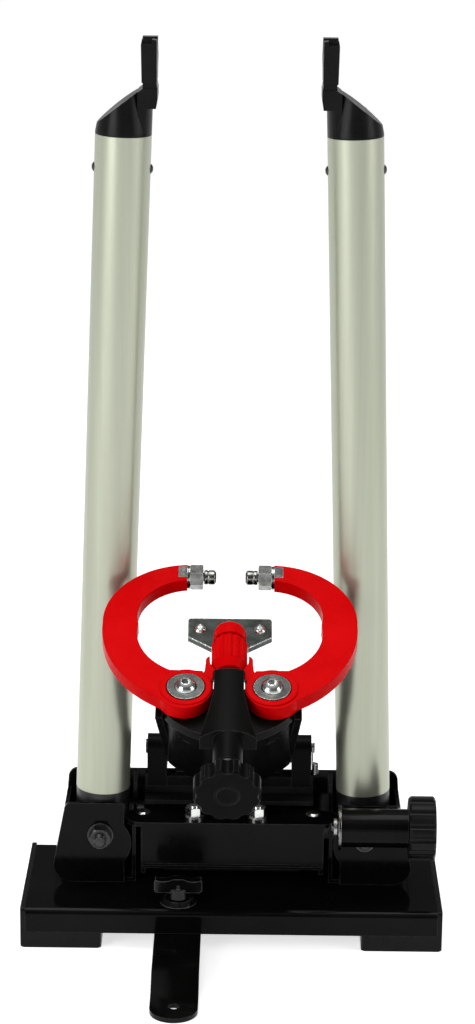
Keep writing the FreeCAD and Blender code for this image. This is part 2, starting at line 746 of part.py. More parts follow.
def axle_cap(sign):
    """Return the moulded cap with its shoulder and the slotted tab that carries a wheel axle."""
    top = pivot_z + tube_top
    seat = V(pivot_x, 0, top)
    plug_dia = tube_dia - 2 * tube_wall - 2 * running
    plug = rod(plug_dia, seat - V(0, 0, 34), seat + V(0, 0, 1))
    plug = plug.cut(rod(plug_dia - 6, seat - V(0, 0, 35), seat - V(0, 0, 4)))
    lean(plug, 1)
    skirt = rod(tube_dia, seat, seat + V(0, 0, 90))
    lean(skirt, 1)
    angle = math.radians(arm_lean)
    mouth = V(pivot_x - tube_top * math.sin(angle), 0, pivot_z + tube_top * math.cos(angle))
    inner_x = dropout_gap / 2
    outer_x = inner_x + dropout_thickness
    z0 = mouth.z
    rise = math.sin(angle) * arm_axis_half
    left = V(mouth.x - arm_axis_half * math.cos(angle), 0, z0 - rise)
    right = V(mouth.x + arm_axis_half * math.cos(angle), 0, z0 + rise)
    neck_z = z0 + cap_neck_height
    depth = V(0, tube_dia + 2, 0)
    back = V(0, -tube_dia / 2 - 1, 0)
    shoulder = prism(depth, left + back, right + back, right + back + V(0.6, 0, 5),
                     [V(outer_x + 15.5, 0, z0 + 17) + back, V(outer_x - 1.0, 0, neck_z) + back],
                     V(inner_x, 0, neck_z) + back, V(inner_x, 0, neck_z - 6) + back)
    flank = Part.makeCone(tube_dia / 2 + 0.8, dropout_depth / 2 - 1.5, cap_neck_height + 8,
                          V(mouth.x, 0, z0 - 2))
    ridge = box(inner_x - 12, outer_x + 2, -dropout_depth / 2, dropout_depth / 2, z0 - 2, neck_z + 2)
    shoulder = shoulder.common(flank.fuse(ridge))
    tab_top = z0 + cap_height
    tab = rounded_box(inner_x, outer_x, -dropout_depth / 2, dropout_depth / 2, neck_z + 3.5, tab_top,
                      1.2, Y_AXIS)
    neck = box(inner_x + 0.2, outer_x - 1.0, -dropout_depth / 2 + 1.2, dropout_depth / 2 - 1.2,
               neck_z - 4, neck_z + 5)
    cap = shoulder.fuse([tab, neck])
    cap = cap.common(skirt.fuse(box(inner_x, outer_x, -dropout_depth / 2, dropout_depth / 2,
                                    neck_z - 12, tab_top)))
    cap = cap.fuse(plug)
    seat_z = z0 + axle_seat_height
    slot = rod(axle_slot_width, V(inner_x - 5, 0, seat_z), V(outer_x + 5, 0, seat_z))
    slot = slot.fuse(box(inner_x - 5, outer_x + 5, -axle_slot_width / 2, axle_slot_width / 2, seat_z,
                         tab_top + 1))
    step = box(inner_x + 3.4, outer_x + 1, -dropout_depth / 2 - 1, -axle_slot_width / 2 - 1.5,
               tab_top - 3.0, tab_top + 1)
    cap = cap.cut(slot).cut(step)
    screw_z = pivot_z + tube_top - 21.0
    hole = rod(3.9, V(pivot_x - 30, 0, screw_z), V(pivot_x + 30, 0, screw_z))
    cap = cap.cut(lean(hole, 1))
    return on_side(cap.removeSplitter(), sign)


def tube_screws(sign):
    """Return the small screws through a tube: two into its cap and one at the back into its root."""
    x = sign * pivot_x
    z = pivot_z + tube_top - 21.0
    screws = []
    for side in (-1, 1):
        seat = V(x + side * tube_dia / 2, 0, z)
        screws.append(button_screw(6.3, 1.6, 3.9, 5.0, seat, V(side, 0, 0), 2.0))
    seat = V(x, tube_dia / 2, pivot_z + root_screw_height)
    screws.append(button_screw(7.0, 1.6, 3.98, 9.0, seat, Y_AXIS, 2.5))
    return lean(Part.makeCompound(screws), sign)


# ---------------------------------------------------------------- linkage
def link_pin(sign):
    """Return the pressed pin that joins the link to an arm root."""
    x = sign * pivot_x
    z = pivot_z - sign * link_radius
    return lean(rod(link_pin_dia, V(x, -2, z), V(x, 16.0, z)), sign)


def link_end(sign):
    """Return the resting place of the link pin of one arm."""
    angle = math.radians(arm_lean)
    x = sign * pivot_x + link_radius * math.sin(angle)
    z = pivot_z - sign * link_radius * math.cos(angle)
    return V(x, link_front, z)


def sync_link():
    """Return the crossing link that makes the two arms swing in opposite ways."""
    ends = [link_end(sign) for sign in (-1, 1)]
    along = ends[1] - ends[0]
    along.normalize()
    across = V(-along.z, 0, along.x) * (link_height / 2)
    thick = V(0, link_thickness, 0)
    bar = prism(thick, ends[0] - across, ends[1] - across, ends[1] + across, ends[0] + across)
    for end in ends:
        bar = bar.fuse(rod(2 * link_eye_radius, end, end + thick))
    for end in ends:
        bar = bar.cut(rod(link_pin_dia + 2 * pin_gap, end - Y_AXIS, end + thick + Y_AXIS))
    return bar.removeSplitter()


def drive_place():
    """Return the x of the drive nut's middle at rest."""
    return pivot_x - drive_height * math.sin(math.radians(arm_lean))


def drive_pin():
    """Return the pin that reaches from the right arm through the housing into the drive nut."""
    start = V(pivot_x, drive_y + 4.6, pivot_z + drive_height)
    return lean(rod(drive_pin_dia, start, start + V(0, -drive_y - 4.6 + 3, 0)), 1)


def drive_nut():
    """Return the block that the adjusting screw moves along inside the barrel."""
    x = drive_place()
    half = nut_length / 2
    core = rod(barrel_dia - 6.0 - 2 * slide_gap, V(x - half, drive_y, drive_z),
               V(x + half, drive_y, drive_z))
    nut = core
    nut = nut.cut(rod(screw_dia + 2 * running, V(x - half - 1, drive_y, drive_z),
                      V(x + half + 1, drive_y, drive_z)))
    return nut.cut(rod(drive_pin_dia + 0.8, V(x, drive_y + 4.25, drive_z), V(x, drive_y + 20, drive_z)))


def screw_barrel():
    """Return the gloss barrel that carries the adjusting screw in front of the right pocket."""
    axis0 = V(barrel_left, drive_y, drive_z)
    axis1 = V(barrel_right, drive_y, drive_z)
    barrel = rod(barrel_dia, axis0, axis1)
    for x, z in barrel_screw_places():
        barrel = barrel.fuse(box(x - 5, x + 5, drive_y, face_front, drive_z - 7.0, drive_z + 7.0))
    bore = rod(barrel_dia - 6.0, axis0 + V(6, 0, 0), axis1 - V(6, 0, 0))
    barrel = barrel.cut(bore)
    barrel = barrel.cut(rod(screw_dia + 2 * running, axis0 - X_AXIS, axis1 + X_AXIS))
    reach = drive_pin_dia / 2 + free_gap
    x = drive_place()
    window = box(x - reach - 1.2, x + reach + 3.2, drive_y, face_front + 1, drive_z - reach,
                 drive_z + reach)
    barrel = barrel.cut(window)
    for x, z in barrel_screw_places():
        barrel = barrel.cut(rod(4.0, V(x, drive_y + 14.5, z), V(x, face_front + 1, z)))
    return barrel.removeSplitter()


def barrel_screw_places():
    """Return the x and z of the screws that hold the barrel's two lugs."""
    return [(barrel_left + 6.0, drive_z), (barrel_right - 10.5, drive_z)]


def barrel_screws():
    """Return the screws that enter the barrel's lugs from inside the pocket."""
    screws = []
    for x, z in barrel_screw_places():
        seat = V(x, face_inside, z)
        screws.append(button_screw(7.6, 1.5, 3.98, face_inside - drive_y - 15.0, seat, Y_AXIS))
    return Part.makeCompound(screws)


def barrel_ring():
    """Return the bright washer on the inner end of the barrel."""
    return tube(29.0, screw_dia + 2 * running, V(barrel_left - 1.8, drive_y, drive_z),
                V(barrel_left, drive_y, drive_z))


def adjusting_screw():
    """Return the screw with its bearing collars and its right-hand end in the knob."""
    start = V(barrel_left - 6.5, drive_y, drive_z)
    end = V(barrel_right + arm_knob_length - 4, drive_y, drive_z)
    screw = rod(screw_dia, start, end)
    collar0 = V(barrel_left + 6 + slide_gap, drive_y, drive_z)
    collar1 = V(barrel_right - 6 - slide_gap - 2.5, drive_y, drive_z)
    for collar in (collar0, collar1):
        screw = screw.fuse(rod(12.0, collar, collar + V(2.5, 0, 0)))
    return screw


def screw_clip():
    """Return the retaining clip on the inner end of the adjusting screw."""
    start = V(barrel_left - 4.6, drive_y, drive_z)
    return tube(12.0, screw_dia, start, start + V(2.0, 0, 0))


def arm_knob():
    """Return the fluted hand knob on the adjusting screw."""
    start = V(barrel_right + slide_gap, drive_y, drive_z)
    knob = fluted_knob(arm_knob_dia, arm_knob_length - slide_gap, arm_knob_flutes, 6.0, start, X_AXIS,
                       1.4)
    end = V(barrel_right + arm_knob_length - 4, drive_y, drive_z)
    return knob.cut(rod(screw_dia, start - X_AXIS, end))


# ---------------------------------------------------------------- calliper hinge
def hinge_bracket():
    """Return the angle inside the rear wall with the flange behind the shelf."""
    half = knuckle_inner + knuckle_width + 1.5
    x0 = calliper_x - half
    x1 = calliper_x + half
    low = shelf_top + 2.7
    plate = box(x0, x1, rear_inside - bracket_sheet, rear_inside, low, bracket_rear_top)
    flange = box(x0, x1, 1.0, rear_inside - bracket_sheet + 1, low, low + bracket_sheet)
    bracket = plate.fuse(flange)
    for x, z in cradle_screw_places():
        bracket = bracket.cut(rod(5.5, V(x, 0, z), V(x, 30, z)))
    return bracket.removeSplitter()


def cradle_screw_places():
    """Return the x and z of the screws that hold the hinge cradle."""
    middle = knuckle_inner + knuckle_width / 2
    return [(calliper_x + sign * middle, rear_wall_top - 5.0) for sign in (-1, 1)]


def hinge_cradle():
    """Return the cast cradle: a rail and two round-topped knuckles that hook over the rear wall."""
    front = hinge_y - knuckle_radius
    back = hinge_y + knuckle_radius
    wall_front = rear_inside - bracket_sheet
    over = rear_wall_top + 0.2
    half = knuckle_inner + knuckle_width
    cradle = box(calliper_x - half, calliper_x + half, front + 0.5, wall_front, cradle_bottom,
                 cradle_rail_top)
    for x0 in (calliper_x - half, calliper_x + knuckle_inner):
        block = prism(V(knuckle_width, 0, 0), V(x0, front, cradle_bottom), V(x0, front, hinge_z),
                      [V(x0, hinge_y, hinge_z + knuckle_radius), V(x0, back, hinge_z)],
                      V(x0, back, over), V(x0, wall_front, over), V(x0, wall_front, cradle_bottom))
        cradle = cradle.fuse(block)
    cradle = cradle.cut(rod(hinge_pin_dia, V(-90, hinge_y, hinge_z), V(90, hinge_y, hinge_z)))
    for x, z in cradle_screw_places():
        cradle = cradle.cut(rod(4.5, V(x, front + 1.2, z), V(x, 30, z)))
    return cradle.removeSplitter()


def cradle_screws():
    """Return the two screws through the rear wall into the cradle's knuckles."""
    length = rear_outside - hinge_y + knuckle_radius - 2.0
    screws = []
    for x, z in cradle_screw_places():
        screws.append(button_screw(9.5, 2.6, 4.48, length, V(x, rear_outside, z), Y_AXIS, 3.0))
    return Part.makeCompound(screws)


def hinge_pin():
    """Return the long pin of the calliper hinge with its head and riveted end."""
    half = knuckle_inner + knuckle_width
    left = V(calliper_x - half, hinge_y, hinge_z)
    right = V(calliper_x + half + 2.2, hinge_y, hinge_z)
    pin = rod(hinge_pin_dia, left - V(1.2, 0, 0), right)
    head = rod(9.5, left - V(1.2, 0, 0), left)
    rivet = rod(7.2, right - V(0.7, 0, 0), right)
    return pin.fuse([head, rivet])


def hinge_spring():
    """Return the bright upright spring beside the right knuckle, its leg resting on the pin."""
    bottom = bracket_rear_top + spring_wire
    pitch = spring_wire + running
    reach = spring_turns * pitch
    leg_x = calliper_x + knuckle_inner + knuckle_width + spring_wire / 2 + 3 * running
    leg_y = hinge_y - (hinge_pin_dia + spring_wire + running) / 2
    coil = Part.makeHelix(pitch, reach, spring_radius)
    profile = Part.Wire(Part.makeCircle(spring_wire / 2, V(spring_radius, 0, 0), Y_AXIS))
    body = Part.Wire(coil).makePipeShell([profile], True, True)
    body.rotate(V(0, 0, 0), Z_AXIS, 180)
    body.translate(V(leg_x + spring_radius, leg_y, bottom))
    leg_foot = V(leg_x, leg_y, bottom + reach)
    bend = Part.makeSphere(spring_wire / 2 + 0.12, leg_foot)
    return body.fuse([rod(spring_wire, leg_foot, V(leg_x, leg_y, hinge_z + 1.5)), bend])


# ---------------------------------------------------------------- calliper
def frame_point(x, y, z):
    """Return the point of the calliper's frame that lies at a place on the resting stand."""
    s, n = to_calliper(y, z)
    return V(x, s, n)


def body_skin(level):
    """Return the curved front wall of the arm, from the deck down to the hinge."""
    thick = 4.0
    low_half = knuckle_inner - slide_gap - 1.0
    shells = []
    for inset in (0.0, thick):
        side = deck_half - 1.0 - inset
        radius = deck_radius - inset
        bow = deck_centre_s - math.sqrt(radius ** 2 - side ** 2)
        front = deck_centre_s - radius
        rise = level + (0.5 if inset else 0.0)
        upper = outline(V(-side, bow, rise), [V(0, front, rise), V(side, bow, rise)])
        edge = low_half - inset
        back = inset * 0.5
        drop = 0.5 if inset else 0.0
        lower = outline(frame_point(-edge, hinge_y - 12 + back, hinge_z - 7 + inset - drop),
                        [frame_point(0, hinge_y - 27 + back, hinge_z - 16 + inset - drop),
                         frame_point(edge, hinge_y - 12 + back, hinge_z - 7 + inset - drop)])
        shells.append(Part.makeLoft([upper, lower], True, True))
    return shells[0].cut(shells[1])


def body_cheek(sign, level):
    """Return one side wall of the arm, from the deck to the hinge ear."""
    outer = sign * deck_half
    inner = sign * (deck_half - 4.5)
    upper = outline(V(outer, 73, level), V(outer, 98, level), V(inner, 98, level), V(inner, 73, level))
    outer = sign * (knuckle_inner - slide_gap)
    inner = sign * (knuckle_inner - slide_gap - 5.0)
    low_y, low_z = hinge_y - 10, hinge_z - 7
    top_y, top_z = hinge_y - 2, hinge_z + 7.6
    lower = outline(frame_point(outer, low_y, low_z), frame_point(outer, top_y, top_z),
                    frame_point(inner, top_y, top_z), frame_point(inner, low_y, low_z))
    return Part.makeLoft([upper, lower], True, True)


def calliper_body():
    """Return the casting with deck, column, spindle boss and the arm down to the hinge."""
    deck_top = -jaw_thickness / 2 - free_gap
    deck_low = deck_top - deck_thickness
    level = deck_top - 1.5
    disc = rod(2 * deck_radius, V(0, deck_centre_s, deck_low), V(0, deck_centre_s, deck_top))
    deck = disc.common(box(-deck_half, deck_half, 0, 98, -99, 99))
    pieces = [body_skin(level)]
    for sign in (-1, 1):
        eye = V(sign * eye_u, eye_s, deck_low)
        pieces.append(rod(2 * eye_inner_radius, eye, eye + V(0, 0, deck_thickness)))
        pieces.append(rod(16.0, eye - V(0, 0, 6), eye + V(0, 0, 1)))
        pieces.append(body_cheek(sign, level))
        near, far = sorted((sign * (knuckle_inner - slide_gap),
                            sign * (knuckle_inner - slide_gap - ear_width)))
        pieces.append(rod(2 * ear_radius, V(near, hinge_s, hinge_n), V(far, hinge_s, hinge_n)))
        rib0, rib1 = sorted((sign * 17.0, sign * 21.0))
        rib = [frame_point(rib0, hinge_y - 26, hinge_z - 11),
               frame_point(rib0, hinge_y - 5, hinge_z - 3),
               frame_point(rib0, hinge_y - 14.5, hinge_z - 13), frame_point(rib0, hinge_y - 24,
                                                                            hinge_z - 18)]
        pieces.append(prism(V(rib1 - rib0, 0, 0), *rib))
    inner_ear = knuckle_inner - slide_gap - ear_width + 1
    pieces.append(rod(11.0, V(-inner_ear, hinge_s, hinge_n), V(inner_ear, hinge_s, hinge_n)))
    pieces.append(body_web())
    pieces.append(column(level))
    pieces.append(rod(boss_dia, V(0, sleeve_end + slide_gap, 0), V(0, 66, 0)))
    pieces.append(stop_lug())
    body = deck.fuse(pieces)
    cuts = [rod(spindle_dia + 2 * running, V(0, 15, 0), V(0, column_end + 2, 0)),
            rod(hinge_pin_dia + 2 * running, V(-70, hinge_s, hinge_n), V(70, hinge_s, hinge_n))]
    for sign in (-1, 1):
        cuts.append(rod(jaw_bolt_dia, V(sign * eye_u, eye_s, -40), V(sign * eye_u, eye_s, 20)))
        nut_top = V(sign * eye_u, eye_s, deck_low - 6)
        cuts.append(rod(17.0, nut_top - V(0, 0, 9), nut_top))
    return tilted(body.cut(cuts).removeSplitter())


def body_web():
    """Return the web that ties the hinge tube to the arm's front wall."""
    half = knuckle_inner - slide_gap - 6.0
    corners = [frame_point(-half, hinge_y - 25, hinge_z - 8),
               frame_point(-half, hinge_y + 1, hinge_z + 4),
               frame_point(-half, hinge_y + 1, hinge_z - 4), frame_point(-half, hinge_y - 19,
                                                                         hinge_z - 12.5)]
    return prism(V(2 * half, 0, 0), *corners)


def column(level):
    """Return the central column that carries the spindle above the deck."""
    front = column_front
    waist = [V(-column_flare, front, level), V(column_flare, front, level),
             V(column_flare - 3.6, front + 13, level), V(column_half + 2.0, front + 25, level),
             V(column_half, front + 36, level), V(column_half, column_end, level),
             V(-column_half, column_end, level), V(-column_half, front + 36, level),
             V(-column_half - 2.0, front + 25, level), V(3.6 - column_flare, front + 13, level)]
    block = prism(V(0, 0, column_top - level), *waist)
    crown = rod(2 * column_crown, V(0, front - 1, column_top - column_crown),
                V(0, column_end + 1, column_top - column_crown))
    crown = crown.fuse(box(-30, 30, front - 1, column_end + 1, -30, column_top - 11))
    return block.common(crown)


def stop_lug():
    """Return the lug behind the rear wall that stops the raised calliper, in the calliper frame."""
    lug = box(-14, 14, rear_outside + slide_gap, rear_outside + slide_gap + 5.0, rear_wall_top - 8,
              hinge_z + 1)
    lug = lug.fuse(box(-14, 14, hinge_y, rear_outside + slide_gap + 5.0, rear_wall_top + 6,
                       hinge_z + 3.5))
    lug.translate(V(0, -dial_y, -dial_z))
    lug.rotate(V(0, 0, 0), X_AXIS, -calliper_tilt)
    return lug


def jaw_plan(n0):
    """Return the crescent outline of the right-hand jaw in the plane n0."""
    def at(u, s):
        """Return the corner (u, s) of the outline."""
        return V(u, s, n0)

    r = eye_inner_radius
    return [at(jaw_end_u, tip_s + 7.0), [at(64.4, 187.2), at(79.3, 147.2)],
            [at(70.4, 108.1), at(eye_u + 15.2, eye_s - 9.7)],
            [at(eye_u + 2.0, eye_s - eye_radius), at(eye_u - 0.74 * r, eye_s - 0.673 * r)],
            [at(eye_u - r, eye_s), at(eye_u - 0.72 * r, eye_s + 0.694 * r)],
            at(eye_u - 9.8, eye_s + 15.6), at(36.3, 104.5),
            [at(54.1, 123.7), at(56.9, 147.2)], [at(47.4, 179.4), at(jaw_end_u, tip_s - 8.2)]]


def jaw(sign):
    """Return a jaw: crescent, raised eye, inner finger and the end for its tip screw."""
    half = jaw_thickness / 2
    body = prism(V(0, 0, jaw_thickness), *jaw_plan(-half))
    eye = V(eye_u, eye_s, 0)
    body = body.fuse(rod(2 * eye_inner_radius - 1.6, eye - V(0, 0, half), eye + V(0, 0, half + 0.9)))
    nose = wedge_small + finger_gap
    inner = wedge_large + finger_gap
    outer = inner + finger_thickness
    flank = column_half + free_gap
    bend = finger_end - 2 * finger_thickness
    finger = prism(V(0, 0, jaw_thickness), V(eye_u - 14.0, eye_s + 2, -half),
                   V(eye_u - 8, eye_s + 9, -half),
                   V(outer + 0.6, eye_s + 15.5, -half), V(outer, bend, -half),
                   [V(outer - 0.7, finger_end - 1.6, -half), V(inner + 0.3, finger_end, -half)],
                   V(inner, wedge_slope_end, -half), V(nose, wedge_front, -half),
                   V(flank, column_end + 1.2, -half), V(flank, eye_s + 8.7, -half))
    body = body.fuse(finger)
    cuts = [rod(jaw_washer_dia + 1.0, eye + V(0, 0, half - 0.6), eye + V(0, 0, half + 2)),
            rod(jaw_bolt_dia + 2 * running, eye - V(0, 0, 20), eye + V(0, 0, 20)),
            rod(tip_screw_dia, V(0, tip_s, 0), V(jaw_end_u + 10, tip_s, 0)),
            box(0, jaw_end_u + tab_length, tip_s - tab_width / 2, tip_s + tab_width / 2,
                half - tab_thickness, 9)]
    body = body.cut(cuts).removeSplitter()
    return tilted(on_side(body, sign))


def jaw_bolt(sign):
    """Return the bright socket-headed bolt that a jaw turns on."""
    seat = V(sign * eye_u, eye_s, jaw_thickness / 2 + slide_gap + 1.0)
    length = seat.z + jaw_thickness / 2 + free_gap + deck_thickness + 6.0 + 8.0
    return tilted(button_screw(14.0, 4.6, jaw_bolt_dia, length, seat, Z_AXIS, 5.0))


def jaw_washer(sign):
    """Return the bright washer between bolt head and jaw."""
    low = jaw_thickness / 2 - 0.6 + slide_gap
    high = jaw_thickness / 2 + slide_gap + 1.0
    return tilted(tube(jaw_washer_dia, jaw_bolt_dia, V(sign * eye_u, eye_s, low),
                       V(sign * eye_u, eye_s, high)))


def jaw_nut(sign):
    """Return the lock nut under the deck."""
    boss_low = -jaw_thickness / 2 - free_gap - deck_thickness - 6.0
    return tilted(chamfered_nut(13.0, 6.8, jaw_bolt_dia, V(sign * eye_u, eye_s, boss_low), V(0, 0, -1),
                                30))


def tip_screw(sign):
    """Return the bright rim feeler: a threaded screw with a wider nose."""
    nose = V(tip_gap / 2, tip_s, 0)
    screw = rod(tip_dia, nose, nose + V(tip_length, 0, 0))
    screw = screw.fuse(rod(tip_screw_dia, nose + V(tip_length - 1, 0, 0), V(jaw_end_u + 9.5, tip_s, 0)))
    edges = [e for e in screw.Edges if e.Closed and abs(e.CenterOfMass.x - nose.x) < 0.01]
    screw = screw.makeChamfer(1.0, edges)
    return tilted(on_side(screw, sign))


def tip_nut(sign):
    """Return the nut that locks a rim feeler, with the tab washer let into the jaw's end."""
    seat = V(jaw_end_u, tip_s, 0)
    washer = tube(15.0, tip_screw_dia, seat, seat - V(1.6, 0, 0))
    nut = chamfered_nut(tip_nut_flats, tip_nut_length, tip_screw_dia, seat - V(1.6, 0, 0), V(-1, 0, 0),
                        30)
    top = jaw_thickness / 2
    tab = box(jaw_end_u - 1.6, jaw_end_u + tab_length, tip_s - tab_width / 2, tip_s + tab_width / 2,
              top - tab_thickness, top)
    return tilted(on_side(nut.fuse([washer, tab]).removeSplitter(), sign))


def spindle():
    """Return the shaft that runs from the front dial to the wedge."""
    shaft = rod(spindle_dia, V(0, 4, 0), V(0, wedge_rear - 7, 0))
    return tilted(shaft)


def front_dial():
    """Return the large fluted dial at the front of the calliper."""
    dial = fluted_knob(dial_dia, dial_thickness, dial_flutes, 8.4, V(0, 0, 0), Y_AXIS, 1.2)
    groove = tube(15.0, 12.8, V(0, -1, 0), V(0, 0.4, 0))
    return tilted(dial.cut(groove).cut(rod(spindle_dia, V(0, 4, 0), V(0, dial_thickness + 1, 0))))


def dial_sleeve():
    """Return the plain collar between the dial and the calliper's boss."""
    return tilted(tube(sleeve_dia, spindle_dia, V(0, dial_thickness, 0), V(0, sleeve_end, 0)))


def wedge_sleeve():
    """Return the red fluted sleeve whose cone spreads the jaws."""
    cone = Part.makeCone(wedge_small, wedge_large, wedge_slope_end - wedge_front, V(0, wedge_front, 0),
                         Y_AXIS)
    grip = fluted_knob(2 * wedge_large, wedge_rear - wedge_slope_end, 14, 4.0,
                       V(0, wedge_slope_end, 0), Y_AXIS, 0.6)
    return tilted(cone.fuse(grip).cut(rod(spindle_dia + 2 * running, V(0, 100, 0),
                                          V(0, wedge_rear - 5, 0))))


def nose_dome():
    """Return the red domed clamp that holds the gauge plate on the wedge."""
    neck = rod(13.0, V(0, wedge_rear, 0), V(0, wedge_rear + dome_neck + 1, 0))
    end = gauge_rear - 13.0
    dome = rod(dome_dia, V(0, wedge_rear + dome_neck, 0), V(0, end, 0))
    rims = [e for e in dome.Edges if e.Closed and e.CenterOfMass.y > end - 1]
    dome = dome.makeFillet(dome_round, rims)
    dome = dome.common(box(-20, 20, 0, 200, gauge_level, 20))
    return tilted(neck.fuse(dome).removeSplitter())


def gauge_plate():
    """Return the bright radial gauge plate with its folded front edges."""
    low = gauge_level - gauge_sheet
    waist = 11.0
    plate = prism(V(0, 0, gauge_sheet), V(-gauge_half, gauge_rear, low), V(gauge_half, gauge_rear, low),
                  V(gauge_half, gauge_shoulder, low), V(waist, gauge_front, low), V(-waist,
                                                                                    gauge_front, low),
                  V(-gauge_half, gauge_shoulder, low))
    upright = [e for e in plate.Edges if abs(e.tangentAt(0).z) > 0.99]
    corners = [e for e in upright
               if abs(e.CenterOfMass.x) > gauge_half - 1 and e.CenterOfMass.y > gauge_rear - 1]
    plate = plate.makeFillet(2.3, corners)
    for sign in (-1, 1):
        fold = prism(V(0, 0, -gauge_fold), V(sign * gauge_half, gauge_shoulder, low),
                     V(sign * waist, gauge_front, low),
                     V(sign * waist, gauge_front + 1.8, low), V(sign * gauge_half,
                                                                gauge_shoulder + 1.8, low))
        plate = plate.fuse(fold)
    cuts = [rod(13.4, V(0, gauge_front - 5, 0), V(0, wedge_rear + 3.2, 0))]
    for sign in (-1, 1):
        screw = V(sign * gauge_screw_u, gauge_screw_s, low)
        cuts.append(rod(4.0, screw - Z_AXIS, screw + V(0, 0, 5)))
    return tilted(plate.cut(cuts).removeSplitter())


def gauge_screws():
    """Return the two small bright slotted screws on the gauge plate."""
    screws = []
    for sign in (-1, 1):
        seat = V(sign * gauge_screw_u, gauge_screw_s, gauge_level)
        screw = button_screw(8.2, 2.6, 3.98, 4.5, seat, Z_AXIS)
        slot = box(seat.x - 0.6, seat.x + 0.6, seat.y - 5, seat.y + 5, gauge_level + 1.4, 3)
        screws.append(screw.cut(slot))
    return tilted(Part.makeCompound(screws))


# ---------------------------------------------------------------- build
def pair(make):
    """Return one compound of the left and the right piece."""
    return Part.makeCompound([make(sign) for sign in (-1, 1)])


def build():
    """Fill the table of parts by node name."""
    parts["base_plate"] = base_plate()
    parts["foot_screws"] = foot_screws()
    parts["stabiliser_bar"] = stabiliser_bar()
    parts["bar_guide"] = bar_guide()
    parts["clamp_washer"] = clamp_washer()
    parts["clamp_nut"] = clamp_nut()
    parts["wing_handle"] = wing_handle()
    parts["wing_stud"] = wing_stud()
    parts["arm_housing"] = arm_housing()
    parts["plate_bolts"] = plate_bolts()
    parts["centre_bracket"] = centre_bracket()
    parts["bridge_bracket"] = bridge_bracket()
    parts["shelf_fasteners"] = shelf_fasteners()
    parts["pivot_bolts"] = pair(pivot_bolt)
    parts["pivot_nuts"] = pair(pivot_nut)
    parts["pivot_washers"] = Part.makeCompound(pivot_washers(-1) + pivot_washers(1))
    parts["sync_link"] = sync_link()
    parts["drive_pin"] = drive_pin()
    parts["drive_nut"] = drive_nut()
    parts["screw_barrel"] = screw_barrel()
    parts["barrel_screws"] = barrel_screws()
    parts["barrel_ring"] = barrel_ring()
    parts["adjusting_screw"] = adjusting_screw()
    parts["screw_clip"] = screw_clip()
    parts["arm_knob"] = arm_knob()
    parts["hinge_bracket"] = hinge_bracket()
    parts["hinge_cradle"] = hinge_cradle()
    parts["cradle_screws"] = cradle_screws()
    parts["hinge_pin"] = hinge_pin()
    parts["hinge_spring"] = hinge_spring()
    parts["calliper_body"] = calliper_body()
    parts["jaw_bolts"] = pair(jaw_bolt)
    parts["jaw_washers"] = pair(jaw_washer)
    parts["jaw_nuts"] = pair(jaw_nut)
    parts["spindle"] = spindle()
    parts["front_dial"] = front_dial()
    parts["dial_sleeve"] = dial_sleeve()
    parts["wedge_sleeve"] = wedge_sleeve()
    parts["nose_dome"] = nose_dome()
    parts["gauge_plate"] = gauge_plate()
    parts["gauge_screws"] = gauge_screws()
    for side, sign in SIDES.items():
        parts["foot_" + side] = on_side(foot(), sign)
        parts["arm_root_" + side] = arm_root(sign)
        parts["arm_tube_" + side] = arm_tube(sign)
        parts["axle_cap_" + side] = axle_cap(sign)
        parts["tube_screws_" + side] = tube_screws(sign)
        parts["link_pin_" + side] = link_pin(sign)
        parts["jaw_" + side] = jaw(sign)
        parts["tip_screw_" + side] = tip_screw(sign)
        parts["tip_nut_" + side] = tip_nut(sign)


def export():
    """Centre the stand on its footprint and write one file per node."""
    os.makedirs("parts", exist_ok=True)
    whole = Part.makeCompound(list(parts.values())).BoundBox
    centre = V(-(whole.XMin + whole.XMax) / 2, -(whole.YMin + whole.YMax) / 2, -whole.ZMin)
    for node, shape in parts.items():
        shape.translate(centre)
        shape.exportStep("parts/" + node + ".step")
    print("nodes", len(parts), "shift", [round(v, 4) for v in centre], "height",
          round(whole.ZLength, 2))


build()
export()
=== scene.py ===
import logging
import math
from dataclasses import dataclass
from enum import Enum
from typing import ClassVar

import bmesh
import bpy
from mathutils import Matrix, Vector


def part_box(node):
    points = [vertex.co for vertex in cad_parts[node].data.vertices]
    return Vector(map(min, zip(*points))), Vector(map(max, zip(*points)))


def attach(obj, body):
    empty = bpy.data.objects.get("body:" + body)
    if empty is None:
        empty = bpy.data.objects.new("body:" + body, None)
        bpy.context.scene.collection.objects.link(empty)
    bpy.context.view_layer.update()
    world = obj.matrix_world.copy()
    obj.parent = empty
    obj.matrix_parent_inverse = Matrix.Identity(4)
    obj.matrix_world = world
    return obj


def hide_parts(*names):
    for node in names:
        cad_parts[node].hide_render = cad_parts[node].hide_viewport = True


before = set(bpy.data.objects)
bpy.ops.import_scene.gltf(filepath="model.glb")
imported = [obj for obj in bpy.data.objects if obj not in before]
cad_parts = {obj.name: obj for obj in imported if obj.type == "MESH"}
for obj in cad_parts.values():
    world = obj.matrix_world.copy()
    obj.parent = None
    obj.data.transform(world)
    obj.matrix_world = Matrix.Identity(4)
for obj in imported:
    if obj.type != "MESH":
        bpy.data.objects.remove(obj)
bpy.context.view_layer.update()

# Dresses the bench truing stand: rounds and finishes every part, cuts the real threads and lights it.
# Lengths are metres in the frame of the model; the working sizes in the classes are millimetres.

MM = 0.001
# Points that lie closer than this, in metres, are one point.
MERGE = 0.000002
LOG = logging.getLogger("truing_stand")

Colour = tuple[float, float, float]
Triple = tuple[float, float, float]


class Side(Enum):
    """The two hands of a mirrored part, with the sign of their X."""

    LEFT = -1
    RIGHT = 1

    @property
    def word(self) -> str:
        """The side's name in the part list."""
        return self.name.lower()


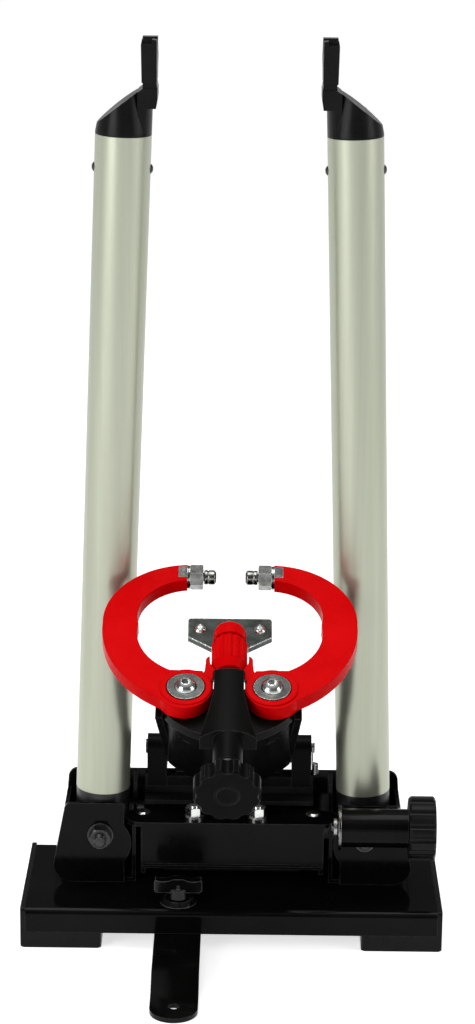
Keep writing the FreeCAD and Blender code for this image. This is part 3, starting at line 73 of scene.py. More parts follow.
class Grain(Enum):
    """The kinds of fine relief that a finish can carry."""

    ORANGE_PEEL = "sprayed enamel"
    POWDER = "baked powder"
    CAST = "painted sand casting"
    MOULDED = "spark-eroded plastic"
    DRAWN = "drawn tube"
    PLATED = "bright plating"
    TURNED = "lathe-turned metal"


@dataclass(frozen=True)
class Layer:
    """One pattern of a fine relief: so many per metre, and its height in metres."""

    scale: float
    strength: float
    depth: float
    detail: float = 2.0
    rough: float = 0.55
    cells: bool = False
    stretch: Triple | None = None


RELIEF = {
    Grain.ORANGE_PEEL: (Layer(260.0, 0.10, 0.00012), Layer(1500.0, 0.10, 0.00002)),
    Grain.POWDER: (Layer(420.0, 0.16, 0.00010, detail=3.0), Layer(2200.0, 0.30, 0.00003)),
    Grain.CAST: (Layer(150.0, 0.28, 0.00030, detail=5.0, rough=0.6),
                 Layer(1300.0, 0.35, 0.00007, cells=True)),
    Grain.MOULDED: (Layer(2100.0, 0.40, 0.00004, cells=True), Layer(90.0, 0.10, 0.00030)),
    Grain.DRAWN: (Layer(900.0, 0.12, 0.00004, detail=3.0, rough=0.7),
                  Layer(1900.0, 0.12, 0.00002, stretch=(1.0, 1.0, 1.0))),
    Grain.PLATED: (Layer(700.0, 0.12, 0.00005, detail=3.0),
                   Layer(2600.0, 0.14, 0.00002, stretch=(1.0, 0.08, 1.0))),
    Grain.TURNED: (Layer(2600.0, 0.30, 0.00003, rough=0.5),),
}


class NodeSheet:
    """A material's node tree with short calls for adding and wiring its nodes."""

    # How alike the rounded and the true normal are at an edge and away from it.
    AT_EDGE: ClassVar[float] = 0.90
    OFF_EDGE: ClassVar[float] = 0.995
    EDGE_SAMPLES: ClassVar[int] = 4

    def __init__(self, name: str) -> None:
        """Start an empty material with a Principled shader.

        Args:
            name: name of the material.
        """
        self.material = bpy.data.materials.new(name)
        self.material.use_nodes = True
        self.tree = self.material.node_tree
        self.shader = self.tree.nodes["Principled BSDF"]

    def add(self, kind: str, **settings: object) -> bpy.types.Node:
        """Add a node and set its properties.

        Args:
            kind: Blender's type name of the node.
            **settings: properties by name.

        Returns:
            The new node.
        """
        node = self.tree.nodes.new(kind)
        for key, value in settings.items():
            setattr(node, key, value)
        return node

    def wire(self, source: bpy.types.NodeSocket, target: bpy.types.NodeSocket) -> None:
        """Join an output to an input."""
        self.tree.links.new(source, target)

    def place(self, stretch: Triple) -> bpy.types.NodeSocket:
        """Read the object's own coordinates.

        Args:
            stretch: scale along each axis, small where the pattern runs long.

        Returns:
            The mapped coordinates.
        """
        source = self.add("ShaderNodeTexCoord")
        mapping = self.add("ShaderNodeMapping")
        mapping.inputs["Scale"].default_value = stretch
        self.wire(source.outputs["Object"], mapping.inputs["Vector"])
        return mapping.outputs["Vector"]

    def noise(self, where: bpy.types.NodeSocket, scale: float, detail: float,
              rough: float) -> bpy.types.NodeSocket:
        """Add a cloud pattern.

        Args:
            where: coordinates.
            scale: clouds per metre.
            detail: octaves.
            rough: strength of the finer octaves.

        Returns:
            The pattern's value.
        """
        node = self.add("ShaderNodeTexNoise")
        node.inputs["Scale"].default_value = scale
        node.inputs["Detail"].default_value = detail
        node.inputs["Roughness"].default_value = rough
        self.wire(where, node.inputs["Vector"])
        return node.outputs["Fac"]

    def cells(self, where: bpy.types.NodeSocket, scale: float) -> bpy.types.NodeSocket:
        """Add a pattern of small cells.

        Args:
            where: coordinates.
            scale: cells per metre.

        Returns:
            The distance to the middle of the cell.
        """
        node = self.add("ShaderNodeTexVoronoi")
        node.inputs["Scale"].default_value = scale
        self.wire(where, node.inputs["Vector"])
        return node.outputs["Distance"]

    @staticmethod
    def fill(ramp: bpy.types.Node, stops: list[tuple[float, Colour]]) -> None:
        """Set the stops of a colour ramp.

        Args:
            ramp: the ramp's node.
            stops: places from 0 to 1 with their colours.
        """
        middle = 0.5
        table = ramp.color_ramp.elements
        while len(table) < len(stops):
            table.new(middle)
        for element, (at, colour) in zip(table, stops):
            element.position = at
            element.color = (*colour, 1.0)

    def tint(self, value: bpy.types.NodeSocket,
             stops: list[tuple[float, Colour]]) -> bpy.types.NodeSocket:
        """Turn a value into a colour.

        Args:
            value: the driving value.
            stops: places from 0 to 1 with their colours.

        Returns:
            The colour.
        """
        ramp = self.add("ShaderNodeValToRGB")
        self.fill(ramp, stops)
        self.wire(value, ramp.inputs["Fac"])
        return ramp.outputs["Color"]

    def span(self, value: bpy.types.NodeSocket, source: tuple[float, float],
             target: tuple[float, float]) -> bpy.types.NodeSocket:
        """Rescale a value and clamp it.

        Args:
            value: the value.
            source: the range that it has.
            target: the range that it gets.

        Returns:
            The rescaled value.
        """
        node = self.add("ShaderNodeMapRange", clamp=True)
        for socket, number in zip(("From Min", "From Max", "To Min", "To Max"), (*source, *target)):
            node.inputs[socket].default_value = number
        self.wire(value, node.inputs["Value"])
        return node.outputs["Result"]

    def maths(self, operation: str, first: bpy.types.NodeSocket,
              second: bpy.types.NodeSocket | float) -> bpy.types.NodeSocket:
        """Combine two values with a maths node.

        Args:
            operation: Blender's name of the sum.
            first: the first value.
            second: the second value, or a plain number.

        Returns:
            The result.
        """
        node = self.add("ShaderNodeMath", operation=operation)
        self.wire(first, node.inputs[0])
        if isinstance(second, float):
            node.inputs[1].default_value = second
        else:
            self.wire(second, node.inputs[1])
        return node.outputs["Value"]

    def blend(self, factor: bpy.types.NodeSocket, under: bpy.types.NodeSocket,
              over: Colour) -> bpy.types.NodeSocket:
        """Lay a plain colour over another.

        Args:
            factor: how much of the plain colour shows.
            under: the colour below.
            over: the plain colour.

        Returns:
            The mixed colour.
        """
        node = self.add("ShaderNodeMix", data_type="RGBA", blend_type="MIX")
        self.wire(factor, node.inputs["Factor"])
        self.wire(under, node.inputs["A"])
        node.inputs["B"].default_value = (*over, 1.0)
        return node.outputs["Result"]

    def edges(self, radius: float) -> bpy.types.NodeSocket:
        """Find the edges of the piece.

        Args:
            radius: how far from an edge the mask reaches, in metres.

        Returns:
            1 on an edge and 0 away from it.
        """
        bevel = self.add("ShaderNodeBevel", samples=self.EDGE_SAMPLES)
        bevel.inputs["Radius"].default_value = radius
        geometry = self.add("ShaderNodeNewGeometry")
        dot = self.add("ShaderNodeVectorMath", operation="DOT_PRODUCT")
        self.wire(bevel.outputs["Normal"], dot.inputs[0])
        self.wire(geometry.outputs["Normal"], dot.inputs[1])
        return self.span(dot.outputs["Value"], (self.AT_EDGE, self.OFF_EDGE), (1.0, 0.0))

    def relief(self, height: bpy.types.NodeSocket, strength: float, depth: float,
               under: bpy.types.NodeSocket | None = None) -> bpy.types.NodeSocket:
        """Turn a height into a bumped normal.

        Args:
            height: the height pattern.
            strength: how much of the relief shows, from 0 to 1.
            depth: height of the relief, in metres.
            under: a normal that this one lies on.

        Returns:
            The bumped normal.
        """
        bump = self.add("ShaderNodeBump")
        bump.inputs["Strength"].default_value = strength
        bump.inputs["Distance"].default_value = depth
        self.wire(height, bump.inputs["Height"])
        if under is not None:
            self.wire(under, bump.inputs["Normal"])
        return bump.outputs["Normal"]


@dataclass(frozen=True)
class Finish:
    """A paint, plating or plastic with its colours, gloss and fine relief.

    The gloss is the least and the most roughness, and the reach is how many millimetres the edge colour
    comes in from an edge. The edge colour is real edge wear on some finishes, a painted highlight along
    the edges on others, and a painted shade along the edges on the red coat.
    """

    CLOUD_DETAIL: ClassVar[float] = 6.0
    CLOUD_ROUGH: ClassVar[float] = 0.6
    FINER: ClassVar[float] = 11.0
    FINE_DETAIL: ClassVar[float] = 3.0
    FINE_ROUGH: ClassVar[float] = 0.5
    DEEP_AT: ClassVar[float] = 0.32
    MIDDLE_AT: ClassVar[float] = 0.52
    PALE_AT: ClassVar[float] = 0.72
    # The clouds that thin out the edge colour (edge wear, painted edge highlights and painted edge
    # shade) and the gloss.
    WEAR_AND_PAINTED_LIGHT_CLOUDS: ClassVar[tuple[float, float]] = (0.38, 0.60)
    WEAR_AND_PAINTED_LIGHT_SHARE: ClassVar[tuple[float, float]] = (0.45, 1.0)
    SMUDGE_CLOUDS: ClassVar[tuple[float, float]] = (0.12, 0.40)

    name: str
    slot: str
    deep: Colour
    pale: Colour
    gloss: tuple[float, float]
    grain: Grain
    metallic: float = 0.0
    clouds: float = 35.0
    specular: float = 0.5
    stretch: Triple = (1.0, 1.0, 1.0)
    edge_wear_and_painted_light: Colour | None = None
    edge_wear_and_painted_light_share: float = 0.35
    reach: float = 0.5

    def material(self) -> bpy.types.Material:
        """Build the finish once and hand it out.

        Returns:
            The finish as a material.
        """
        found = bpy.data.materials.get(self.name)
        if found is not None:
            return found
        sheet = NodeSheet(self.name)
        shader = sheet.shader
        shader.inputs["Metallic"].default_value = self.metallic
        shader.inputs["Specular IOR Level"].default_value = self.specular
        where = sheet.place(self.stretch)
        cloud = sheet.noise(where, self.clouds, self.CLOUD_DETAIL, self.CLOUD_ROUGH)
        fine = sheet.noise(where, self.clouds * self.FINER, self.FINE_DETAIL, self.FINE_ROUGH)
        colour = sheet.tint(cloud, [(self.DEEP_AT, self.deep), (self.MIDDLE_AT, self._middle()),
                                    (self.PALE_AT, self.pale)])
        # The edge colour laid over the base colour is real wear on some finishes; on others it is a
        # painted highlight along the edges, and on the red coat a painted shade.
        if self.edge_wear_and_painted_light is not None:
            patches = sheet.span(fine, self.WEAR_AND_PAINTED_LIGHT_CLOUDS, self.WEAR_AND_PAINTED_LIGHT_SHARE)
            wear_and_painted_light_mask = sheet.maths("MULTIPLY", sheet.edges(self.reach * MM), patches)
            colour = sheet.blend(sheet.maths("MULTIPLY", wear_and_painted_light_mask, self.edge_wear_and_painted_light_share), colour, self.edge_wear_and_painted_light)
        sheet.wire(colour, shader.inputs["Base Color"])
        smudge = sheet.maths("MULTIPLY", cloud, fine)
        sheet.wire(sheet.span(smudge, self.SMUDGE_CLOUDS, self.gloss), shader.inputs["Roughness"])
        sheet.wire(self._relief(sheet, where), shader.inputs["Normal"])
        return sheet.material

    def _middle(self) -> Colour:
        """The colour half-way between the deep and the pale one."""
        return tuple((low + high) / 2 for low, high in zip(self.deep, self.pale))

    def _relief(self, sheet: NodeSheet, where: bpy.types.NodeSocket) -> bpy.types.NodeSocket:
        """Add the nodes of the finish's relief, each layer on the one before.

        Args:
            sheet: the material's node sheet.
            where: coordinates of the pattern, apart from a layer with its own stretch.

        Returns:
            The bumped normal.
        """
        normal = None
        for layer in RELIEF[self.grain]:
            spot = where if layer.stretch is None else sheet.place(layer.stretch)
            if layer.cells:
                height = sheet.cells(spot, layer.scale)
            else:
                height = sheet.noise(spot, layer.scale, layer.detail, layer.rough)
            normal = sheet.relief(height, layer.strength, layer.depth, normal)
        return normal


class Palette:
    """Every finish of the stand."""

    # Its pale edge colour is a painted highlight along the edges of the glossy black sheet.
    GLOSS_BLACK = Finish("gloss_black_enamel", "black_gloss", (0.0016, 0.0016, 0.0016),
                         (0.0036, 0.0036, 0.0034), (0.09, 0.18), Grain.ORANGE_PEEL, clouds=24.0,
                         specular=0.08, edge_wear_and_painted_light=(0.046, 0.046, 0.045), edge_wear_and_painted_light_share=0.75, reach=1.1)
    # Its pale edge colour is a painted highlight along the wing's edges.
    WING_BLACK = Finish("wing_enamel", "black_gloss", (0.0016, 0.0016, 0.0016),
                        (0.0036, 0.0036, 0.0034), (0.08, 0.16), Grain.ORANGE_PEEL, clouds=24.0,
                        specular=0.24, edge_wear_and_painted_light=(0.15, 0.15, 0.148), edge_wear_and_painted_light_share=0.8, reach=0.9)
    # Its pale edge colour is a painted highlight along the bar's edges.
    BAR_BLACK = Finish("bar_enamel", "bar_paint", (0.0020, 0.0020, 0.0018),
                       (0.0042, 0.0042, 0.0038), (0.10, 0.18), Grain.ORANGE_PEEL, clouds=30.0,
                       specular=0.13, edge_wear_and_painted_light=(0.055, 0.055, 0.054), edge_wear_and_painted_light_share=0.7, reach=0.9)
    SATIN_BLACK = Finish("satin_black_paint", "black_satin", (0.006, 0.006, 0.006),
                         (0.011, 0.011, 0.011), (0.28, 0.42), Grain.POWDER, clouds=45.0,
                         specular=0.15, edge_wear_and_painted_light=(0.04, 0.04, 0.038))
    # Its pale edge colour is a painted highlight along the casting's edges, such as the deck's front
    # rim.
    CAST_BLACK = Finish("painted_casting", "black_cast", (0.0020, 0.0022, 0.0019),
                        (0.0038, 0.0041, 0.0035), (0.30, 0.42), Grain.CAST, clouds=60.0,
                        specular=0.04, edge_wear_and_painted_light=(0.046, 0.046, 0.044), edge_wear_and_painted_light_share=0.75, reach=1.1)
    BLACK_PLASTIC = Finish("grained_black_plastic", "black_plastic", (0.0032, 0.0034, 0.0030),
                           (0.0062, 0.0064, 0.0058), (0.26, 0.38), Grain.MOULDED, clouds=55.0,
                           specular=0.11, edge_wear_and_painted_light=(0.024, 0.024, 0.023))
    # Its pale edge colour is painted glints on the dial's flutes and edges.
    DIAL_PLASTIC = Finish("dial_plastic", "black_plastic", (0.0018, 0.0019, 0.0017),
                          (0.0036, 0.0037, 0.0034), (0.28, 0.42), Grain.MOULDED, clouds=70.0,
                          specular=0.03, edge_wear_and_painted_light=(0.055, 0.055, 0.054), edge_wear_and_painted_light_share=0.7, reach=0.8)
    ARM_COAT = Finish("satin_arm_coat", "arm_paint", (0.36, 0.382, 0.300), (0.43, 0.452, 0.362),
                      (0.30, 0.38), Grain.DRAWN, metallic=0.75, clouds=120.0, stretch=(1.0, 1.0, 0.02))
    # Its darker red edge colour is painted shade along the edges of the jaws and the wedge.
    RED_COAT = Finish("red_powder_coat", "red_gloss", (0.55, 0.0008, 0.0016), (0.63, 0.0018, 0.0028),
                      (0.24, 0.34), Grain.POWDER, clouds=40.0, specular=0.015,
                      edge_wear_and_painted_light=(0.36, 0.0012, 0.0030), edge_wear_and_painted_light_share=0.7, reach=1.3)
    ROOT_ALLOY = Finish("blackened_alloy", "root_alloy", (0.020, 0.020, 0.020), (0.045, 0.045, 0.044),
                        (0.30, 0.44), Grain.TURNED, metallic=0.8, clouds=80.0,
                        edge_wear_and_painted_light=(0.16, 0.16, 0.155))
    DARK_STEEL = Finish("blackened_steel", "dark_steel", (0.028, 0.028, 0.028), (0.065, 0.065, 0.064),
                        (0.24, 0.40), Grain.TURNED, metallic=0.9, clouds=90.0,
                        edge_wear_and_painted_light=(0.25, 0.25, 0.24))
    STUD_STEEL = Finish("dull_stud_steel", "plain_steel", (0.045, 0.045, 0.044), (0.095, 0.095, 0.092),
                        (0.20, 0.34), Grain.TURNED, metallic=1.0, clouds=100.0,
                        edge_wear_and_painted_light=(0.34, 0.34, 0.33))
    PIN_STEEL = Finish("oiled_pin_steel", "bright_zinc", (0.05, 0.05, 0.05), (0.10, 0.10, 0.10),
                       (0.22, 0.36), Grain.TURNED, metallic=0.95, clouds=90.0, edge_wear_and_painted_light=(0.30, 0.30, 0.29))
    PLAIN_STEEL = Finish("turned_steel", "plain_steel", (0.30, 0.30, 0.30), (0.44, 0.44, 0.43),
                         (0.22, 0.36), Grain.TURNED, metallic=1.0, clouds=130.0)
    BRIGHT_ZINC = Finish("bright_zinc_plate", "bright_zinc", (0.50, 0.52, 0.51), (0.76, 0.77, 0.75),
                         (0.12, 0.28), Grain.PLATED, metallic=1.0, clouds=110.0)
    # Its near-white edge colour is a painted highlight: the bright rims of the washers and the ring.
    DULL_ZINC = Finish("dull_zinc_plate", "bright_zinc", (0.085, 0.092, 0.086), (0.150, 0.160, 0.150),
                       (0.14, 0.28), Grain.PLATED, metallic=1.0, clouds=90.0,
                       edge_wear_and_painted_light=(0.74, 0.75, 0.73), edge_wear_and_painted_light_share=1.0, reach=0.7)
    # Its near-white edge colour is a painted highlight along the gauge plate's edges and its folded
    # front edge.
    GAUGE_ZINC = Finish("gauge_plate_zinc", "bright_zinc", (0.055, 0.062, 0.057), (0.100, 0.110, 0.101),
                        (0.12, 0.26), Grain.PLATED, metallic=1.0, clouds=100.0,
                        edge_wear_and_painted_light=(0.86, 0.87, 0.84), edge_wear_and_painted_light_share=1.0, reach=1.1)
    # Its near-white edge colour is painted glints on the edges of the feelers and their nuts.
    FEELER_ZINC = Finish("feeler_zinc", "bright_zinc", (0.09, 0.095, 0.09), (0.34, 0.35, 0.33),
                         (0.10, 0.22), Grain.TURNED, metallic=1.0, clouds=160.0,
                         edge_wear_and_painted_light=(0.86, 0.87, 0.86), edge_wear_and_painted_light_share=0.9, reach=0.6)


class Bench:
    """Mesh tools that every part class shares, with sizes in millimetres where they take them."""

    # Faces across a wide edge, round a lathed piece and round one turn of a thread.
    FINE: ClassVar[int] = 3
    ROUND: ClassVar[int] = 40
    TURN: ClassVar[int] = 22
    # Faces that turn by fewer degrees than this are one flat face.
    FLAT: ClassVar[float] = 0.8
    NORMAL_WEIGHT: ClassVar[int] = 60
    # A thread's depth and where its crest starts and ends, in shares of its pitch.
    DEPTH: ClassVar[float] = 0.58
    CREST: ClassVar[tuple[float, float]] = (0.45, 0.58)
    # How far below the core a thread's ends are chamfered.
    CHAMFER: ClassVar[float] = 0.1
    HEAD_EDGE: ClassVar[float] = 0.5
    # How near to a cut, in metres, a point counts as lying on it.
    CUT: ClassVar[float] = 0.0000005
    RIM: ClassVar[float] = 0.00001

    @staticmethod
    def settle(mesh: bmesh.types.BMesh, name: str, finish: Finish, body: str,
               *nodes: str) -> bpy.types.Object:
        """Turn a finished mesh into a smooth-shaded piece that rides on its body.

        Args:
            mesh: the bmesh, in metres in the model's frame; it is freed.
            name: name of the piece.
            finish: its finish.
            body: the moving body that carries it.
            *nodes: model nodes that it stands for.

        Returns:
            The piece.
        """
        data = bpy.data.meshes.new(name)
        mesh.to_mesh(data)
        mesh.free()
        data.shade_smooth()
        data.materials.append(finish.material())
        piece = bpy.data.objects.new(name, data)
        bpy.context.scene.collection.objects.link(piece)
        weigh = piece.modifiers.new("weighted_normals", "WEIGHTED_NORMAL")
        weigh.mode = "FACE_AREA_WITH_ANGLE"
        weigh.weight = Bench.NORMAL_WEIGHT
        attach(piece, body)
        if nodes:
            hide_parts(*nodes)
        LOG.info("%s: %d faces on %s", name, len(data.polygons), body)
        return piece

    @staticmethod
    def round_off(node: str, finish: Finish, body: str, radius: float, segments: int = 2,
                  weld: float = 0.12, corner: float = 30.0) -> bpy.types.Object:
        """Make a piece with broken edges from a copy of a model node.

        Args:
            node: name of the node.
            finish: its finish.
            body: the body that carries it.
            radius: edge radius in millimetres.
            segments: faces across an edge.
            weld: edges shorter than this many millimetres close up first.
            corner: smallest angle, in degrees, that counts as an edge.

        Returns:
            The rounded piece, which replaces the node.
        """
        mesh = bmesh.new()
        mesh.from_mesh(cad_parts[node].data)
        bmesh.ops.remove_doubles(mesh, verts=mesh.verts, dist=MERGE)
        bmesh.ops.dissolve_limit(mesh, angle_limit=math.radians(Bench.FLAT), verts=mesh.verts,
                                 edges=mesh.edges)
        bmesh.ops.dissolve_degenerate(mesh, edges=mesh.edges, dist=weld * MM)
        sharp = [edge for edge in mesh.edges
                 if edge.is_manifold and edge.calc_face_angle(0.0) > math.radians(corner)]
        bmesh.ops.bevel(mesh, geom=sharp, offset=radius * MM, offset_type="OFFSET", affect="EDGES",
                        segments=segments, profile=0.5, material=-1, clamp_overlap=True)
        return Bench.settle(mesh, node + "_rounded", finish, body, node)

    @staticmethod
    def paint(node: str, finish: Finish) -> None:
        """Give a model node that keeps its own mesh a finish.

        Args:
            node: name of the node.
            finish: its finish.
        """
        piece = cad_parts[node]
        piece.data.materials.clear()
        piece.data.materials.append(finish.material())
        LOG.info("%s: %s", node, finish.name)

    @staticmethod
    def lathe(mesh: bmesh.types.BMesh, profile: list[tuple[float, float]]) -> None:
        """Spin (radius, height) points round Z into a closed skin.

        Args:
            mesh: the bmesh that takes the skin.
            profile: the points from bottom to top, on the axis at both ends.
        """
        points = [mesh.verts.new((radius * MM, 0.0, height * MM)) for radius, height in profile]
        line = [mesh.edges.new(pair) for pair in zip(points, points[1:])]
        bmesh.ops.spin(mesh, geom=points + line, cent=(0, 0, 0), axis=(0, 0, 1), angle=math.tau,
                       steps=Bench.ROUND, use_merge=True, use_duplicate=False)

    @staticmethod
    def thread(mesh: bmesh.types.BMesh, radius: float, pitch: float, start: float, end: float) -> None:
        """Cut a screw thread round Z, with a chamfer at both ends.

        Args:
            mesh: the bmesh that takes it.
            radius: outer radius.
            pitch: rise per turn.
            start: lower end.
            end: upper end.
        """
        work = bmesh.new()
        core = radius - Bench.DEPTH * pitch
        low = start - pitch
        turns = math.ceil((end - start) / pitch) + 2
        rising, falling = (low + share * pitch for share in Bench.CREST)
        points = [work.verts.new((r * MM, 0.0, z * MM))
                  for r, z in ((core, low), (radius, rising), (radius, falling), (core, low + pitch))]
        line = [work.edges.new(pair) for pair in zip(points, points[1:])]
        bmesh.ops.spin(work, geom=points + line, cent=(0, 0, 0), axis=(0, 0, 1),
                       dvec=(0, 0, pitch * MM / Bench.TURN), angle=math.tau * turns,
                       steps=Bench.TURN * turns, use_duplicate=False)
        bmesh.ops.remove_doubles(work, verts=work.verts, dist=MERGE)
        for height, outer in ((start, False), (end, True)):
            bmesh.ops.bisect_plane(work, geom=work.verts[:] + work.edges[:] + work.faces[:],
                                   dist=Bench.CUT, plane_co=(0, 0, height * MM), plane_no=(0, 0, 1),
                                   clear_outer=outer, clear_inner=not outer)
            rim = [edge for edge in work.edges if edge.is_boundary
                   and all(abs(vert.co.z - height * MM) < Bench.RIM for vert in edge.verts)]
            bmesh.ops.edgeloop_fill(work, edges=rim)
        for vert in work.verts:
            spare = min(vert.co.z / MM - start, end - vert.co.z / MM)
            most = (core - Bench.CHAMFER + max(spare, 0.0)) * MM
            reach = math.hypot(vert.co.x, vert.co.y)
            if reach > most:
                vert.co.x *= most / reach
                vert.co.y *= most / reach
        bmesh.ops.recalc_face_normals(work, faces=work.faces)
        Bench.join(mesh, work, Matrix.Identity(4))

    @staticmethod
    def hexagon(mesh: bmesh.types.BMesh, across: float, low: float, high: float) -> None:
        """Add a hexagon head round Z with broken corners.

        Args:
            mesh: the bmesh that takes it.
            across: width across its flats.
            low: lower face.
            high: upper face.
        """
        work = bmesh.new()
        bmesh.ops.create_circle(work, cap_ends=True, segments=6, radius=across / math.sqrt(3) * MM,
                                matrix=Matrix.Translation((0, 0, low * MM)))
        risen = bmesh.ops.extrude_face_region(work, geom=work.faces[:])
        verts = [item for item in risen["geom"] if isinstance(item, bmesh.types.BMVert)]
        bmesh.ops.translate(work, verts=verts, vec=(0, 0, (high - low) * MM))
        bmesh.ops.bevel(work, geom=work.edges[:], offset=Bench.HEAD_EDGE * MM, offset_type="OFFSET",
                        affect="EDGES", segments=2, profile=0.5, material=-1)
        bmesh.ops.recalc_face_normals(work, faces=work.faces)
        Bench.join(mesh, work, Matrix.Identity(4))

    @staticmethod
    def join(mesh: bmesh.types.BMesh, work: bmesh.types.BMesh, place: Matrix) -> None:
        """Move one bmesh into another.

        Args:
            mesh: the bmesh that takes it.
            work: the bmesh that is moved; it is freed.
            place: where it goes.
        """
        work.transform(place)
        data = bpy.data.meshes.new("work")
        work.to_mesh(data)
        work.free()
        mesh.from_mesh(data)
        bpy.data.meshes.remove(data)

    @staticmethod
    def tidy(mesh: bmesh.types.BMesh) -> bmesh.types.BMesh:
        """Merge the poles of a spun mesh and point its faces outwards.

        Args:
            mesh: the spun mesh.

        Returns:
            The same mesh.
        """
        bmesh.ops.remove_doubles(mesh, verts=mesh.verts, dist=MERGE)
        bmesh.ops.recalc_face_normals(mesh, faces=mesh.faces)
        return mesh


@dataclass
class SteelBase:
    """The pressed plate with its moulded feet and the bar that steadies it."""

    plate_edge: float = 1.1
    foot_edge: float = 0.8
    bar_edge: float = 0.5

    def build(self) -> None:
        """Make the plate, the feet, the bar, its guide and their screws."""
        Bench.round_off("base_plate", Palette.GLOSS_BLACK, "stand", self.plate_edge, Bench.FINE)
        for side in Side:
            Bench.round_off("foot_" + side.word, Palette.BLACK_PLASTIC, "stand", self.foot_edge,
                            Bench.FINE)
        Bench.round_off("stabiliser_bar", Palette.BAR_BLACK, "bar", self.bar_edge)
        Bench.round_off("bar_guide", Palette.SATIN_BLACK, "stand", self.bar_edge)
        Bench.paint("foot_screws", Palette.DARK_STEEL)
        Bench.paint("plate_bolts", Palette.DARK_STEEL)


@dataclass
class WingClamp:
    """The wing screw that clamps the bar."""

    wing_edge: float = 0.9
    wing_corner: float = 38.0
    washer_edge: float = 0.4

    def build(self) -> None:
        """Make the wing, its washer, its stud and the nut below."""
        Bench.round_off("wing_handle", Palette.WING_BLACK, "wing", self.wing_edge, Bench.FINE,
                        corner=self.wing_corner)
        Bench.round_off("clamp_washer", Palette.WING_BLACK, "stand", self.washer_edge)
        Bench.paint("wing_stud", Palette.STUD_STEEL)
        Bench.paint("clamp_nut", Palette.PLAIN_STEEL)


@dataclass
class PivotBolts:
    """The two long bolts that the arms swing on, with their cut threads."""

    half_spacing: float = 86.0
    height: float = 60.0
    radius: float = 4.0
    pitch: float = 1.25
    threaded: float = 16.0
    runout: float = 0.4
    sink: float = 0.2
    head_across: float = 13.0
    head_height: float = 5.3
    nut_edge: float = 0.35
    washer_edge: float = 0.3

    def build(self) -> None:
        """Make both bolts as one piece, heads at the back."""
        low, high = (Vector(corner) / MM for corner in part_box("pivot_bolts"))
        length = high.y - low.y
        neck = length - self.head_height
        start = self.threaded - self.runout
        mesh = bmesh.new()
        for side in Side:
            bolt = bmesh.new()
            Bench.thread(bolt, self.radius, self.pitch, 0.0, self.threaded)
            shank = bmesh.new()
            Bench.lathe(shank, [(0.0, start), (self.radius - 2 * self.runout, start),
                                (self.radius, self.threaded + self.runout),
                                (self.radius, neck + self.sink), (0.0, neck + self.sink)])
            Bench.join(bolt, Bench.tidy(shank), Matrix.Identity(4))
            Bench.hexagon(bolt, self.head_across, neck, length)
            place = Matrix.Translation(Vector((side.value * self.half_spacing, low.y, self.height)) * MM)
            Bench.join(mesh, bolt, place @ Matrix.Rotation(-math.pi / 2, 4, "X"))
        Bench.settle(mesh, "pivot_bolts_threaded", Palette.DARK_STEEL, "stand", "pivot_bolts")
        Bench.round_off("pivot_nuts", Palette.DARK_STEEL, "stand", self.nut_edge)
        Bench.round_off("pivot_washers", Palette.DARK_STEEL, "stand", self.washer_edge)


@dataclass
class Housing:
    """The folded housing, the shelf with its bare front panel, and what holds them."""

    sheet_edge: float = 0.7
    shelf_edge: float = 0.9
    fastener_edge: float = 0.3
    weld: float = 0.25

    def build(self) -> None:
        """Make the housing, the bracket, the bridge and what fastens them."""
        Bench.round_off("arm_housing", Palette.GLOSS_BLACK, "stand", self.sheet_edge, Bench.FINE,
                        self.weld)
        Bench.round_off("centre_bracket", Palette.GLOSS_BLACK, "stand", self.shelf_edge, Bench.FINE,
                        self.weld)
        Bench.round_off("bridge_bracket", Palette.SATIN_BLACK, "stand", self.sheet_edge)
        Bench.round_off("shelf_fasteners", Palette.BRIGHT_ZINC, "stand", self.fastener_edge)
        PivotBolts().build()


@dataclass
class HubArm:
    """One swinging arm: root, round tube, moulded cap and its screws."""

    side: Side
    cap_edge: float = 0.9
    cap_weld: float = 0.3
    tube_edge: float = 0.5
    screw_edge: float = 0.25

    def build(self) -> None:
        """Make every piece of the arm."""
        word = self.side.word
        body = "arm_" + word
        Bench.round_off("arm_tube_" + word, Palette.ARM_COAT, body, self.tube_edge)
        Bench.round_off("axle_cap_" + word, Palette.BLACK_PLASTIC, body, self.cap_edge, Bench.FINE,
                        self.cap_weld)
        Bench.round_off("tube_screws_" + word, Palette.DARK_STEEL, body, self.screw_edge)
        Bench.paint("arm_root_" + word, Palette.ROOT_ALLOY)
        Bench.paint("link_pin_" + word, Palette.PLAIN_STEEL)


